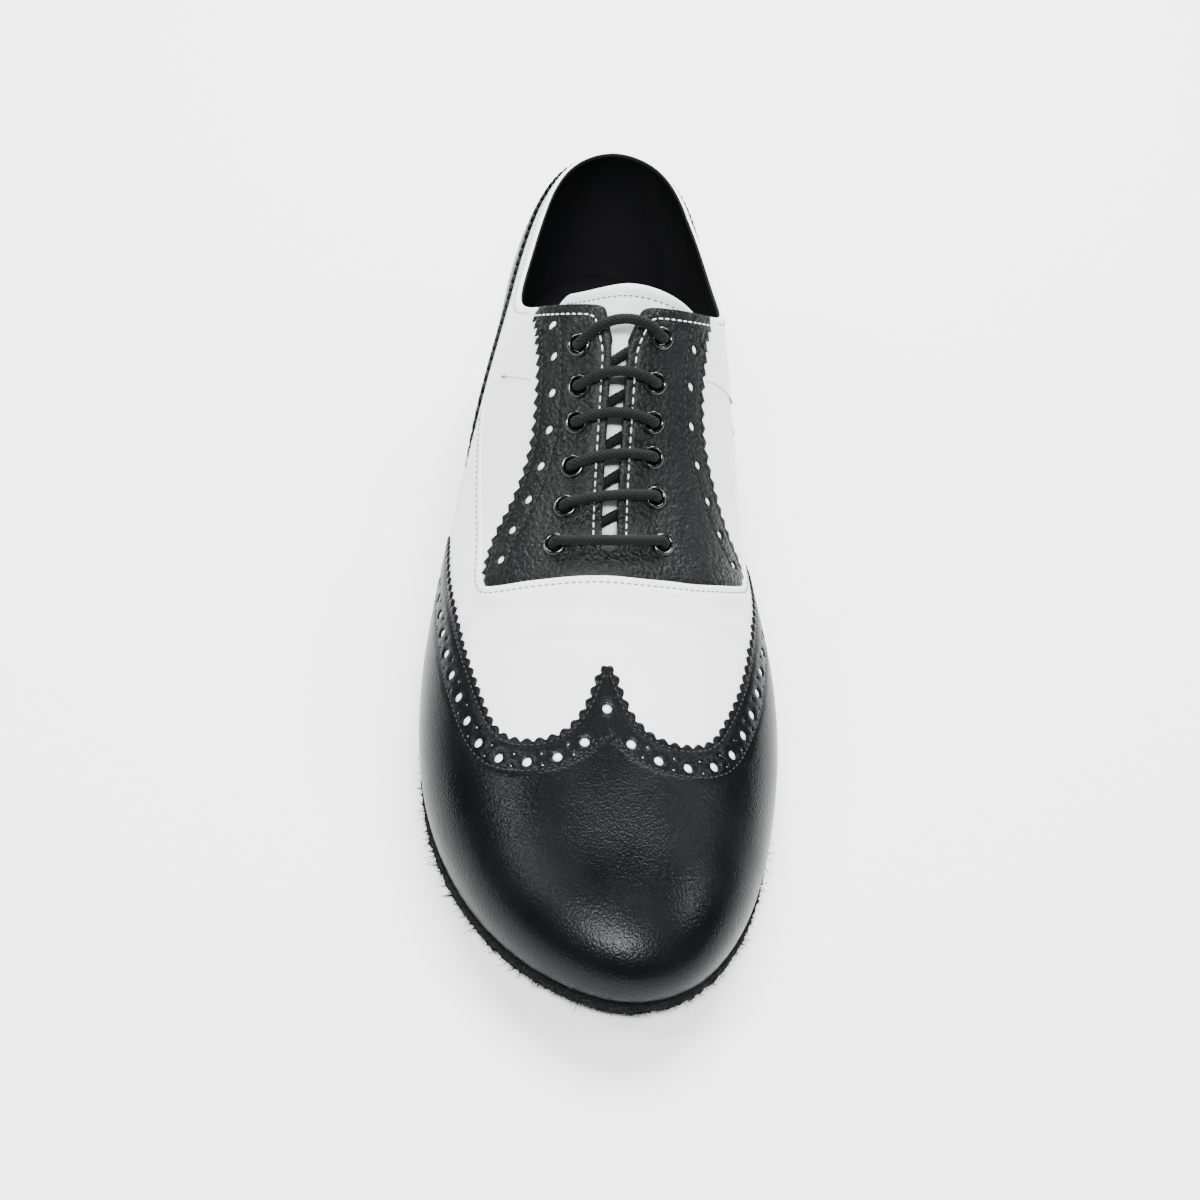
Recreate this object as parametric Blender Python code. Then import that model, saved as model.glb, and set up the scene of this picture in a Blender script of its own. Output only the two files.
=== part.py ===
"""Right shoe of a pair of two-tone lace-up dance brogues, as a maker would assemble it.

The upper, sole and every overlay are worked out from one form, the last. Its surface is made of half sections:
each starts on the feather line, where upper and sole meet, and rises over the wall to the ridge along the top.
Frame: metres, +Z up, the toe towards -Y, the inner (big toe) side towards +X, the floor at Z = 0.
"""

import math

import bmesh
import bpy
import numpy as np
from mathutils import Vector
from mathutils.geometry import delaunay_2d_cdt

# Driving sizes of the last
LENGTH = 0.276  # feather line, heel to toe
BALL_WIDTH = 0.100  # feather line, across the ball
INSTEP_HEIGHT = 0.086  # sole to the top of the lacing
HEEL_HEIGHT = 0.025
TOE_SPRING = 0.008

# Thicknesses and clearances
SOLE_THICKNESS = 0.0040
SOLE_EDGE = 0.0022  # how far the sole stands out from the feather line
SOLE_BEVEL = 0.0006
WALL = 0.0018  # upper leather and lining
OVERLAY = 0.0012  # toe cap, facing and counter leather
SEAM_GAP = 0.0004  # under an overlay
EDGE_LIFT = 0.0012  # how far up the wall an overlay's lower edge lies
GAP = 0.0003  # between other pieces that meet
INSOLE_THICKNESS = 0.0025
INSOLE_INSET = 0.0030
TONGUE_THICKNESS = 0.0018
TONGUE_ROOT_HALF = 0.0190
TONGUE_TIP_HALF = 0.0300
HEEL_TIP_THICKNESS = 0.0045
HEEL_INSET = 0.0006
HEEL_TAPER = 0.0016
BREAST_RAKE = 0.0030

# Lacing
LACE_DIAMETER = 0.0027
LACE_ARCH = 0.0014  # how far a bar bows up at its middle
LACE_BEND = 0.0012  # from an eyelet's axis to where the lace runs level
EYELET_BORE = 0.00170  # radius
EYELET_BARREL = 0.00205  # outer radius
EYELET_FLANGE = 0.00320  # outer radius
EYELET_RIM = 0.0009  # height above the facing
EYELET_HOLE = 0.00240  # radius of the punched hole
SLOT_HALF = 0.0023
SLOT_FLARE = 0.0026  # extra half width where the facings part at the top

# Places along the shoe, as shares of LENGTH from the heel's back
HEEL_PIVOT = 0.130  # the sections fan out round the heel behind it
TOE_PIVOT = 0.868  # and round the toe in front of it
SEAT_END = 0.225  # the heel seat is flat up to here, where the heel's front face stands
TREAD_START = 0.600  # the sole lies flat on the floor between these two
TREAD_END = 0.745
COLLAR_FRONT = 0.385
SLOT_END = 0.592
TONGUE_ROOT = 0.700
TONGUE_TIP = 0.366
TONGUE_SWEEP = 0.038  # how far the sides of its top edge reach back past the middle
TONGUE_CORNER = 0.040  # how far its rounded corners come forward again
TONGUE_MARGIN = 0.010  # from the slot's end, and from the root, to where its depth changes

# Feather line in plan. along: share of LENGTH. across: share of BALL_WIDTH, + on the inner side.
OUTLINE = (
    # along, across
    (0.000, 0.000), (0.030, -0.175), (0.095, -0.275), (0.200, -0.320), (0.345, -0.365),
    (0.480, -0.430), (0.600, -0.482), (0.690, -0.500), (0.780, -0.480), (0.865, -0.402),
    (0.935, -0.275), (0.983, -0.110), (1.000, 0.055), (0.985, 0.195), (0.940, 0.312),
    (0.870, 0.400), (0.790, 0.450), (0.715, 0.468), (0.630, 0.452), (0.540, 0.408),
    (0.440, 0.350), (0.330, 0.305), (0.200, 0.290), (0.095, 0.255), (0.030, 0.165),
)

# Ridge of the last. height: share of INSTEP_HEIGHT above the sole. across: share of BALL_WIDTH.
RIDGE = (
    # along, height, across
    (0.130, 0.910, 0.022), (0.220, 1.000, 0.038), (0.310, 1.040, 0.030), (0.385, 0.985, -0.008),
    (0.460, 0.870, -0.020), (0.545, 0.735, -0.025), (0.640, 0.605, -0.025), (0.725, 0.495, -0.025),
    (0.805, 0.405, -0.018), (0.868, 0.345, -0.008),
)

# Shape of the half sections, outer side then inner side. wall: share of the height over which the side
# stays upright. crown: share of the half width over which the top stays level. lean: degrees outwards.
WALLS = (
    # along, outer wall, inner wall, outer crown, inner crown, outer lean, inner lean
    (0.00, 0.60, 0.60, 0.58, 0.58, 11, 11),
    (0.13, 0.50, 0.52, 0.46, 0.56, 12, 12),
    (0.28, 0.50, 0.58, 0.46, 0.66, 15, 15),
    (0.38, 0.54, 0.60, 0.54, 0.66, 18, 17),
    (0.48, 0.57, 0.57, 0.58, 0.60, 21, 18),
    (0.60, 0.62, 0.62, 0.58, 0.58, 23, 21),
    (0.75, 0.65, 0.65, 0.58, 0.58, 20, 18),
    (0.87, 0.66, 0.66, 0.60, 0.60, 16, 15),
    (1.00, 0.68, 0.68, 0.62, 0.62, 14, 14),
)

# Top edge of the quarters behind the lacing. height: share of INSTEP_HEIGHT above the sole.
COLLAR = (
    # along, height
    (0.000, 0.660), (0.060, 0.645), (0.130, 0.600), (0.200, 0.560), (0.250, 0.560),
    (0.295, 0.620), (0.345, 0.770), (0.385, 0.960),
)

# Upper edge of the heel counter. height: share of INSTEP_HEIGHT, measured up the wall.
COUNTER = (
    # along, height
    (0.000, 0.630), (0.070, 0.590), (0.140, 0.490), (0.215, 0.420), (0.300, 0.385),
    (0.360, 0.335), (0.405, 0.220), (0.440, 0.080),
)

# Wing of the toe cap, from its peak on the ridge to the waist. arc: share of BALL_WIDTH over the surface.
WING = (
    # along, outer arc, inner arc
    (0.705, 0.000, 0.000), (0.722, 0.025, 0.025), (0.747, 0.062, 0.062), (0.768, 0.120, 0.122),
    (0.774, 0.200, 0.212), (0.764, 0.280, 0.290), (0.738, 0.330, 0.345), (0.700, 0.375, 0.400),
    (0.662, 0.420, 0.440), (0.612, 0.475, 0.495), (0.549, 0.557, 0.580), (0.500, 0.650, 0.680),
    (0.470, 0.780, 0.780),
)
WING_FOOT = 0.452  # along, where the wing runs under the sole

# Facing. Its outer edge from the collar down to the throat, then its lower edge back to the ridge.
FACING = (
    # along, outer arc, inner arc
    (0.352, 0.345, 0.325), (0.382, 0.292, 0.302), (0.412, 0.256, 0.290), (0.440, 0.247, 0.291),
    (0.470, 0.245, 0.311), (0.500, 0.262, 0.358), (0.530, 0.302, 0.422), (0.550, 0.340, 0.472),
    (0.566, 0.360, 0.452), (0.588, 0.370, 0.375), (0.604, 0.350, 0.270), (0.613, 0.235, 0.150),
    (0.616, 0.100, 0.060),
)

# Eyelets from the lowest pair up. arc: share of BALL_WIDTH from the ridge, each side. bow: how far the lace
# bar between the two curves towards the heel at its middle, as a share of BALL_WIDTH.
EYELETS = (
    # outer along, inner along, arc, bow
    (0.582, 0.577, 0.152, -0.010), (0.546, 0.534, 0.126, 0.000), (0.511, 0.500, 0.112, 0.005),
    (0.475, 0.472, 0.108, 0.010), (0.447, 0.442, 0.108, 0.016), (0.415, 0.407, 0.118, 0.030),
)

# Fineness of the faceted solids
KNOT_GAP = 0.0010  # least distance of a patch's inner points from its edge
FRAME_ROWS = 11
TOE_STATIONS = 16
HEEL_STATIONS = 10
EYELET_SIDES = 8
SOLE_ROWS = 40
COLLAR_STATIONS = (0.335, 0.352, 0.365, 0.376)  # along, where the collar climbs to the lacing
WING_STEP = 0.0055  # between points along the toe cap's wing
FACING_STEP = 0.0050  # and along the facing's edge

CENTRE_X = 0.0019  # the last's axis, so that the whole shoe is centred on X = 0
HEEL_Y = LENGTH / 2 - 0.0006  # its heel end, so that the whole shoe is centred on Y = 0
PIVOT = np.array([0.0, TOE_PIVOT * LENGTH])
INNER, OUTER = 0.0, math.pi

COLOURS = {
    # name: (red, green, blue), roughness, metallic
    "white_leather": ((0.86, 0.87, 0.87), 0.42, 0.0),
    "black_leather": ((0.012, 0.014, 0.016), 0.36, 0.0),
    "black_suede": ((0.016, 0.017, 0.018), 0.95, 0.0),
    "black_heel": ((0.014, 0.014, 0.015), 0.45, 0.0),
    "black_lining": ((0.010, 0.010, 0.011), 0.80, 0.0),
    "black_lace": ((0.013, 0.013, 0.014), 0.75, 0.0),
    "black_metal": ((0.020, 0.021, 0.023), 0.28, 0.6),
}


class Curve:
    """Natural cubic spline through (xs, ys)."""

    def __init__(self, xs, ys):
        self.xs, self.ys = np.asarray(xs, float), np.asarray(ys, float)
        self.steps = np.diff(self.xs)
        count = len(self.xs)
        system, target = np.eye(count), np.zeros(count)
        for i in range(1, count - 1):
            before, after = self.steps[i - 1], self.steps[i]
            system[i, i - 1 : i + 2] = before, 2 * (before + after), after
            rise = (self.ys[i + 1] - self.ys[i]) / after - (self.ys[i] - self.ys[i - 1]) / before
            target[i] = 6 * rise
        self.bends = np.linalg.solve(system, target)

    def __call__(self, at):
        at = np.asarray(at, float)
        k = np.clip(np.searchsorted(self.xs, at) - 1, 0, len(self.xs) - 2)
        step, low, high = self.steps[k], at - self.xs[k], self.xs[k + 1] - at
        return (
            (self.bends[k] * high**3 + self.bends[k + 1] * low**3) / (6 * step)
            + (self.ys[k] / step - self.bends[k] * step / 6) * high
            + (self.ys[k + 1] / step - self.bends[k + 1] * step / 6) * low
        )


def columns(table):
    """One spline for each column of a table, over its first column."""
    rows = np.array(table, float)
    return [Curve(rows[:, 0], rows[:, c]) for c in range(1, rows.shape[1])]


def closed_curve(points, per_span):
    """Closed cubic spline through plan points."""
    p = np.asarray(points, float)
    count = len(p)
    chord = np.roll(p, -1, axis=0) - p
    step = np.sqrt((chord**2).sum(1))
    system = np.zeros((count, count))
    for i in range(count):
        system[i, i - 1] += step[i - 1]
        system[i, i] += 2 * (step[i - 1] + step[i])
        system[i, (i + 1) % count] += step[i]
    slope = chord / step[:, None]
    bends = np.linalg.solve(system, 6 * (slope - np.roll(slope, 1, axis=0)))
    out = []
    for i in range(count):
        j = (i + 1) % count
        for share in np.arange(per_span) / per_span:
            low, high = share * step[i], (1 - share) * step[i]
            out.append(
                (bends[i] * high**3 + bends[j] * low**3) / (6 * step[i])
                + (p[i] / step[i] - bends[i] * step[i] / 6) * high
                + (p[j] / step[i] - bends[j] * step[i] / 6) * low
            )
    return np.array(out)


def ease(share):
    share = np.clip(share, 0, 1)
    return share**3 * (10 - 15 * share + 6 * share**2)


def sole_bottom(along):
    """Height of the sole's underside: level seat, waist, flat tread and toe spring."""
    along = np.asarray(along, float)
    seat = HEEL_HEIGHT * (1 - ease((along - SEAT_END) / (TREAD_START - SEAT_END)))
    toe = TOE_SPRING * np.clip((along - TREAD_END) / (1 - TREAD_END), 0, 1) ** 2
    return seat + toe


def feather_height(along):
    return sole_bottom(along) + SOLE_THICKNESS + GAP


def plan_point(along, across):
    return np.array([CENTRE_X + across * BALL_WIDTH, HEEL_Y - along * LENGTH])


FEATHER = closed_curve([plan_point(*row) for row in OUTLINE], 24)
RIDGE_HEIGHT, RIDGE_ACROSS = columns(RIDGE)
SECTION_SHAPE = columns(WALLS)
COLLAR_HEIGHT = columns(COLLAR)[0]
COUNTER_HEIGHT = columns(COUNTER)[0]


def offset_outline(outline, distance):
    """Plan outline moved outwards by distance."""
    run = np.roll(outline, -1, axis=0) - np.roll(outline, 1, axis=0)
    normal = np.column_stack([-run[:, 1], run[:, 0]])
    normal /= np.linalg.norm(normal, axis=1)[:, None]
    if ((outline - outline.mean(axis=0)) * normal).sum() < 0:
        normal = -normal
    return outline + distance * normal


def reach(outline, origin, direction):
    """Distance from origin to the outline along direction, in plan."""
    run = np.roll(outline, -1, axis=0) - outline
    gap = outline - origin
    cross = direction[0] * run[:, 1] - direction[1] * run[:, 0]
    cross = np.where(np.abs(cross) < 1e-15, 1e-15, cross)
    far = (gap[:, 0] * run[:, 1] - gap[:, 1] * run[:, 0]) / cross
    share = (gap[:, 0] * direction[1] - gap[:, 1] * direction[0]) / cross
    return far[(share >= -1e-9) & (share <= 1 + 1e-9) & (far > 0)].max()


def ridge_point(along):
    height = RIDGE_HEIGHT(along) * INSTEP_HEIGHT + sole_bottom(along) + SOLE_THICKNESS
    return np.array([*plan_point(along, RIDGE_ACROSS(along)), height])


def section(along, angle):
    """Bezier points of a half section, from the feather line up to the ridge at along.

    angle is its direction in plan: 0 the inner side, pi / 2 the toe, pi the outer side, 3 pi / 2 the heel."""
    top = ridge_point(along)
    direction = np.array([math.cos(angle), -math.sin(angle)])
    width = reach(FEATHER, top[:2], direction)
    foot = top[:2] + width * direction
    foot_along = (HEEL_Y - foot[1]) / LENGTH
    outer = (1 - math.cos(angle)) / 2
    wall, crown, lean = (
        outer * SECTION_SHAPE[k](foot_along) + (1 - outer) * SECTION_SHAPE[k + 1](foot_along)
        for k in (0, 2, 4)
    )
    base = np.array([*foot, feather_height(foot_along)])
    out, up = np.array([*direction, 0.0]), np.array([0.0, 0.0, 1.0])
    step = 0.01
    slope = (top[2] - ridge_point(along - step)[2]) / (step * LENGTH)
    handle = wall * (top[2] - base[2])
    upright = math.sin(math.radians(lean)) * out + math.cos(math.radians(lean)) * up
    level = out + slope * math.sin(angle) * up
    return np.array([base, base + handle * upright, top + crown * width * level, top])


def bezier(control, t):
    t = np.asarray(t, float)[:, None]
    a, b, c, d = control
    return (1 - t) ** 3 * a + 3 * (1 - t) ** 2 * t * b + 3 * (1 - t) * t**2 * c + t**3 * d


def profile(along, angle, samples=80):
    """Points up a half section and their distance over the surface from the ridge."""
    points = bezier(section(along, angle), np.linspace(0, 1, samples))
    lengths = np.linalg.norm(np.diff(points, axis=0), axis=1)
    from_ridge = np.concatenate([np.cumsum(lengths[::-1])[::-1], [0.0]])
    return points, from_ridge


def at_arc(along, angle, arc):
    """Point of a half section at the distance arc from the ridge."""
    points, from_ridge = profile(along, angle)
    return np.array([np.interp(arc, from_ridge[::-1], points[::-1, k]) for k in range(3)])


def on_chart(q):
    """Surface point of a chart position: q[0] is the distance over the surface from the ridge, + inwards,
    and q[1] the distance from the heel's back. In front of the toe pivot the chart is polar."""
    gap = q[1] - PIVOT[1]
    if gap > 0:
        return at_arc(TOE_PIVOT, math.atan2(gap, q[0]), math.hypot(q[0], gap))
    return at_arc(q[1] / LENGTH, INNER if q[0] >= 0 else OUTER, abs(q[0]))


def chart_frame(q, step=0.0004):
    """Surface point and outward normal at a chart position."""
    q = np.asarray(q, float)
    across = on_chart(q + [step, 0]) - on_chart(q - [step, 0])
    forward = on_chart(q + [0, step]) - on_chart(q - [0, step])
    normal = np.cross(forward, across)
    return on_chart(q), normal / np.linalg.norm(normal)


def slot_half(along):
    """Half width of the throat slot, flared at the top."""
    return SLOT_HALF + SLOT_FLARE * (1 - ease((along - COLLAR_FRONT) / 0.03))


def station_list():
    """(along, angle) of the frame's half sections, once round from the inner side of the heel pivot."""
    back = [*np.linspace(HEEL_PIVOT, COLLAR_STATIONS[0], 7), *COLLAR_STATIONS[1:]]
    lacing = np.linspace(COLLAR_FRONT, SLOT_END - 0.008, 8)
    front = np.linspace(SLOT_END, TOE_PIVOT, 9)
    body = [*back, *lacing, *front]
    toe = [(TOE_PIVOT, math.pi * k / TOE_STATIONS) for k in range(1, TOE_STATIONS)]
    heel = [(HEEL_PIVOT, math.pi * (1 + k / HEEL_STATIONS)) for k in range(1, HEEL_STATIONS)]
    return [(a, INNER) for a in body] + toe + [(a, OUTER) for a in body[::-1]] + heel


def section_end(along, angle, points, from_ridge):
    """Distance from the ridge at which the upper's edge lies on a half section: 0 where the vamp is closed."""
    heel = angle > OUTER
    if heel or along < COLLAR_FRONT - 1e-9:
        foot_along = (HEEL_Y - points[0][1]) / LENGTH if heel else along
        height = COLLAR_HEIGHT(foot_along) * INSTEP_HEIGHT + points[0][2]
        return float(np.interp(height, points[:, 2], from_ridge))
    if along < SLOT_END - 1e-9:
        return float(slot_half(along))
    return 0.0


def frame_grid():
    """Chart rows of the upper: for each station its points from the feather line to its edge."""
    grid, arcs = [], []
    for along, angle in station_list():
        points, from_ridge = profile(along, angle)
        end = section_end(along, angle, points, from_ridge)
        arc = np.linspace(from_ridge[0], end, FRAME_ROWS + 1)
        grid.append([[np.interp(s, from_ridge[::-1], points[::-1, k]) for k in range(3)] for s in arc])
        arcs.append(arc)
    return np.array(grid), np.array(arcs)


def grid_normals(grid):
    """Outward normals of a ring of section rows."""
    round_way = np.roll(grid, -1, axis=0) - np.roll(grid, 1, axis=0)
    up_way = np.gradient(grid, axis=1)
    normals = np.cross(round_way, up_way)
    normals /= np.linalg.norm(normals, axis=2)[..., None] + 1e-15
    return -normals if (normals * (grid - grid.mean(axis=(0, 1)))).sum() < 0 else normals


def new_object(name, mesh, colour):
    obj = bpy.data.objects.new(name, mesh)
    bpy.context.scene.collection.objects.link(obj)
    material = bpy.data.materials.get(colour) or bpy.data.materials.new(colour)
    rgb, roughness, metallic = COLOURS[colour]
    material.use_nodes = True
    shader = material.node_tree.nodes["Principled BSDF"]
    shader.inputs["Base Color"].default_value = (*rgb, 1)
    shader.inputs["Roughness"].default_value = roughness
    shader.inputs["Metallic"].default_value = metallic
    mesh.materials.append(material)
    return obj


def solid(name, points, faces, colour, smooth=True):
    """Object from points and faces, with its normals made to face outwards."""
    mesh = bpy.data.meshes.new(name)
    mesh.from_pydata([tuple(map(float, p)) for p in points], [], [tuple(map(int, f)) for f in faces])
    work = bmesh.new()
    work.from_mesh(mesh)
    bmesh.ops.remove_doubles(work, verts=work.verts, dist=1e-6)
    bmesh.ops.recalc_face_normals(work, faces=work.faces)
    work.to_mesh(mesh)
    work.free()
    obj = new_object(name, mesh, colour)
    if smooth:
        mesh.shade_smooth()
        mesh.set_sharp_from_angle(angle=math.radians(40))
    return obj


def shell(name, outside, inside, faces, colour):
    """Closed sheet between two copies of one patch: the copies and a rim along the patch's open edges."""
    count = len(outside)
    uses = {}
    for face in faces:
        for a, b in zip(face, [*face[1:], face[0]]):
            key = (min(a, b), max(a, b))
            uses.setdefault(key, []).append((a, b))
    rim = [(b, a, a + count, b + count) for edges in uses.values() if len(edges) == 1 for a, b in edges]
    under = [tuple(v + count for v in face[::-1]) for face in faces]
    return solid(name, [*outside, *inside], [*faces, *under, *rim], colour)


def weld(points):
    """Index of the first point that lies where each point lies."""
    seen, index = {}, []
    for i, p in enumerate(np.round(np.asarray(points) / 1e-6).astype(int)):
        index.append(seen.setdefault(tuple(p), i))
    return index


def lower_split(face, points, normals):
    """Two triangles for a four-sided face, split so that they lie as far in as they can."""
    a, b, c, d = face
    rise = (points[a] + points[c] - points[b] - points[d]) @ normals[a]
    return [[a, b, d], [b, c, d]] if rise > 0 else [[a, b, c], [a, c, d]]


def build_upper(grid, normals):
    """Hollow upper: open at the collar, along the throat and underneath."""
    stations, rows = grid.shape[:2]
    outside = grid.reshape(-1, 3)
    index = weld(outside)
    merged = {}
    for i, first in enumerate(index):
        merged.setdefault(first, []).append(i)
    flat = normals.reshape(-1, 3).copy()
    for same in merged.values():
        flat[same] = flat[same].sum(axis=0)
    flat /= np.linalg.norm(flat, axis=1)[:, None]
    inside = outside - WALL * flat
    faces = []
    for i in range(stations):
        j = (i + 1) % stations
        for k in range(rows - 1):
            face = [i * rows + k, j * rows + k, j * rows + k + 1, i * rows + k + 1]
            face = [index[v] for v in face]
            face = [v for n, v in enumerate(face) if v != face[n - 1]]
            if len(face) == 4:
                faces += lower_split(face, outside, flat)
            elif len(face) == 3:
                faces.append(face)
    return shell("upper", outside, inside, faces, "white_leather")


def inside_loops(points, loops):
    """True for points inside the first loop and outside the others."""
    count = np.zeros(len(points), int)
    for loop in loops:
        ahead = np.roll(loop, -1, axis=0)
        for (x0, y0), (x1, y1) in zip(loop, ahead):
            crosses = (y0 > points[:, 1]) != (y1 > points[:, 1])
            if y0 != y1:
                reach_x = (x1 - x0) * (points[:, 1] - y0) / (y1 - y0) + x0
                count += crosses & (points[:, 0] < reach_x)
    return count % 2 == 1


def clearance(points, loop):
    """Distance of each point from a closed loop."""
    best = np.full(len(points), 1e9)
    for a, b in zip(loop, np.roll(loop, -1, axis=0)):
        run = b - a
        share = np.clip(((points - a) @ run) / (run @ run), 0, 1)
        best = np.minimum(best, np.linalg.norm(points - a - share[:, None] * run, axis=1))
    return best


def patch(name, loop, chart, colour):
    """Sheet over the last inside a chart loop. It bends along the upper's own edges, so it lies on it."""
    knots, links = chart
    loop = np.asarray(loop)
    near = [k for k in np.flatnonzero(inside_loops(knots, [loop])) if clearance(knots[[k]], loop)[0] > KNOT_GAP]
    near = sorted(set(near) & {k for link in links for k in link})
    place = {k: len(loop) + i for i, k in enumerate(near)}
    verts = [Vector(p) for p in [*loop, *knots[near]]]
    edges = [(i, (i + 1) % len(loop)) for i in range(len(loop))]
    edges += [(place[a], place[b]) for a, b in sorted(links) if a in place and b in place]
    made, _, faces, *_ = delaunay_2d_cdt(verts, edges, [], 0, 1e-9)
    made = np.array([tuple(v) for v in made])
    kept = inside_loops(np.array([made[list(f)].mean(axis=0) for f in faces]), [loop])
    faces = [list(f) for f, keep in zip(faces, kept) if keep]
    frames = [chart_frame(q) for q in made]
    outside = [point + (SEAM_GAP + OVERLAY) * normal for point, normal in frames]
    inside = [point + SEAM_GAP * normal for point, normal in frames]
    return shell(name, outside, inside, faces, colour)


def side_line(table, side, spacing):
    """Chart points along one side of a table of (along, outer arc, inner arc), about spacing apart."""
    rows = np.array(table)
    sign, column = (1, 2) if side == INNER else (-1, 1)
    knots = np.column_stack([sign * rows[:, column] * BALL_WIDTH, rows[:, 0] * LENGTH])
    steps = np.concatenate([[0], np.cumsum(np.linalg.norm(np.diff(knots, axis=0), axis=1))])
    across, along = Curve(steps, knots[:, 0]), Curve(steps, knots[:, 1])
    places = np.linspace(0, steps[-1], max(2, round(steps[-1] / spacing) + 1))
    return np.column_stack([across(places), along(places)])


def between(start, end, count):
    """Points spaced evenly between two chart points, without the two."""
    return start + np.linspace(0, 1, count + 2)[1:-1, None] * (end - start)


def toe_cap_loop():
    """Chart loop of the toe cap: its winged edge, then just above the feather line round the toe."""
    foot = []
    alongs = np.linspace(WING_FOOT, TOE_PIVOT, 22)
    for along in alongs:
        foot.append((profile(along, INNER)[1][0] - EDGE_LIFT, along * LENGTH))
    for angle in np.linspace(0, math.pi, 24)[1:-1]:
        arc = profile(TOE_PIVOT, angle)[1][0] - EDGE_LIFT
        foot.append((arc * math.cos(angle), PIVOT[1] + arc * math.sin(angle)))
    for along in alongs[::-1]:
        foot.append((EDGE_LIFT - profile(along, OUTER)[1][0], along * LENGTH))
    foot = np.array(foot)
    outer = side_line(WING, OUTER, WING_STEP)[::-1]
    inner = side_line(WING, INNER, WING_STEP)[1:]
    inner_end = between(inner[-1], foot[0], 2)
    outer_end = between(foot[-1], outer[0], 2)
    return np.concatenate([outer, inner, inner_end, foot, outer_end])


def facing_loop():
    """Chart loop of the facing: down its inner edge, round the throat, up its outer edge and round the slot."""
    inner = side_line(FACING, INNER, FACING_STEP)
    outer = side_line(FACING, OUTER, FACING_STEP)
    slot = np.linspace(COLLAR_FRONT + 0.003, SLOT_END - 0.004, 9)
    left, right = (np.column_stack([sign * slot_half(slot), slot * LENGTH]) for sign in (-1, 1))
    throat = [(0.0, SLOT_END * LENGTH)]
    lower = [(0.0, FACING[-1][0] * LENGTH)]
    outer_top = between(outer[0], left[0], 5)
    inner_top = between(right[0], inner[0], 5)
    return np.concatenate([inner, lower, outer[::-1], outer_top, left, throat, right[::-1], inner_top])


def frame_chart(arcs):
    """Chart positions of the upper's own grid points in front of the heel, and the edges between them."""
    stations = [k for k, (_, angle) in enumerate(station_list()) if angle <= OUTER]
    rows = arcs.shape[1]
    knots = []
    for k in stations:
        along, angle = station_list()[k]
        origin = np.array([0.0, along * LENGTH])
        knots += [origin + s * np.array([math.cos(angle), math.sin(angle)]) for s in arcs[k]]
    knots = np.array(knots)
    index = weld(np.column_stack([knots, np.zeros(len(knots))]))
    edges = set()
    for i in range(len(stations)):
        for k in range(rows):
            here = i * rows + k
            beside = [here + 1] if k < rows - 1 else []
            beside += [here + rows] if i < len(stations) - 1 else []
            edges |= {(index[here], index[other]) for other in beside if index[here] != index[other]}
    return knots, edges


def build_counter(grid, normals):
    """Heel counter: the wall of the heel up to its own edge, on the upper's own stations."""
    outside, inside = [], []
    stations = station_list()
    start = next(i for i, (a, g) in enumerate(stations) if g == OUTER and a < COUNTER[-1][0])
    order = [k % len(stations) for k in range(start, len(stations) + start)]
    order = [k for k in order if stations[k][1] > OUTER or stations[k][0] < COUNTER[-1][0]]
    rows = 5
    for k in order:
        along = (HEEL_Y - grid[k][0][1]) / LENGTH
        lengths = np.linalg.norm(np.diff(grid[k], axis=0), axis=1)
        up = np.concatenate([[0], np.cumsum(lengths)])
        top = min(COUNTER_HEIGHT(along) * INSTEP_HEIGHT, up[-1] - 0.003)
        heights = np.linspace(EDGE_LIFT, top, rows + 1)
        point = [[np.interp(h, up, grid[k][:, c]) for c in range(3)] for h in heights]
        normal = [[np.interp(h, up, normals[k][:, c]) for c in range(3)] for h in heights]
        normal = np.array(normal) / np.linalg.norm(normal, axis=1)[:, None]
        outside += list(np.array(point) + (SEAM_GAP + OVERLAY) * normal)
        inside += list(np.array(point) + SEAM_GAP * normal)
    faces = []
    for i in range(len(order) - 1):
        for k in range(rows):
            a = i * (rows + 1) + k
            faces.append([a, a + rows + 1, a + rows + 2, a + 1])
    return shell("counter", outside, inside, faces, "black_leather")


def edges_at(outline, y):
    """Least and greatest x at which a plan outline crosses the line at y."""
    ahead = np.roll(outline, -1, axis=0)
    crossing = (outline[:, 1] > y) != (ahead[:, 1] > y)
    a, b = outline[crossing], ahead[crossing]
    x = a[:, 0] + (y - a[:, 1]) / (b[:, 1] - a[:, 1]) * (b[:, 0] - a[:, 0])
    return x.min(), x.max()


def sole_sections(outline, count):
    """(along, left, right, y) of rows across a plan outline, close together at both ends."""
    rows = []
    low, high = outline[:, 1].min(), outline[:, 1].max()
    for turn in np.linspace(0.04, math.pi - 0.04, count):
        y = low + (high - low) * (1 + math.cos(turn)) / 2
        rows.append(((HEEL_Y - y) / LENGTH, *edges_at(outline, y), y))
    return rows


def sheet_of_rows(name, rows, ring, colour):
    """Solid made of one closed ring of points for each row, with flat ends."""
    points = [p for row in rows for p in ring(*row)]
    width = len(points) // len(rows)
    faces = [tuple(range(width))[::-1], tuple(range(len(points) - width, len(points)))]
    for i in range(len(rows) - 1):
        for k in range(width):
            a, b = i * width + k, i * width + (k + 1) % width
            faces.append((a, b, b + width, a + width))
    return solid(name, points, faces, colour)


def build_outsole():

    def ring(along, left, right, y):
        bottom = float(sole_bottom(along))
        top = bottom + SOLE_THICKNESS
        bevel = min(SOLE_BEVEL, (right - left) / 4)
        return [
            (left + bevel, y, bottom), (right - bevel, y, bottom), (right, y, bottom + bevel),
            (right, y, top), (left, y, top), (left, y, bottom + bevel),
        ]

    rows = sole_sections(offset_outline(FEATHER, SOLE_EDGE), SOLE_ROWS)
    return sheet_of_rows("outsole", rows, ring, "black_suede")


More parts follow.
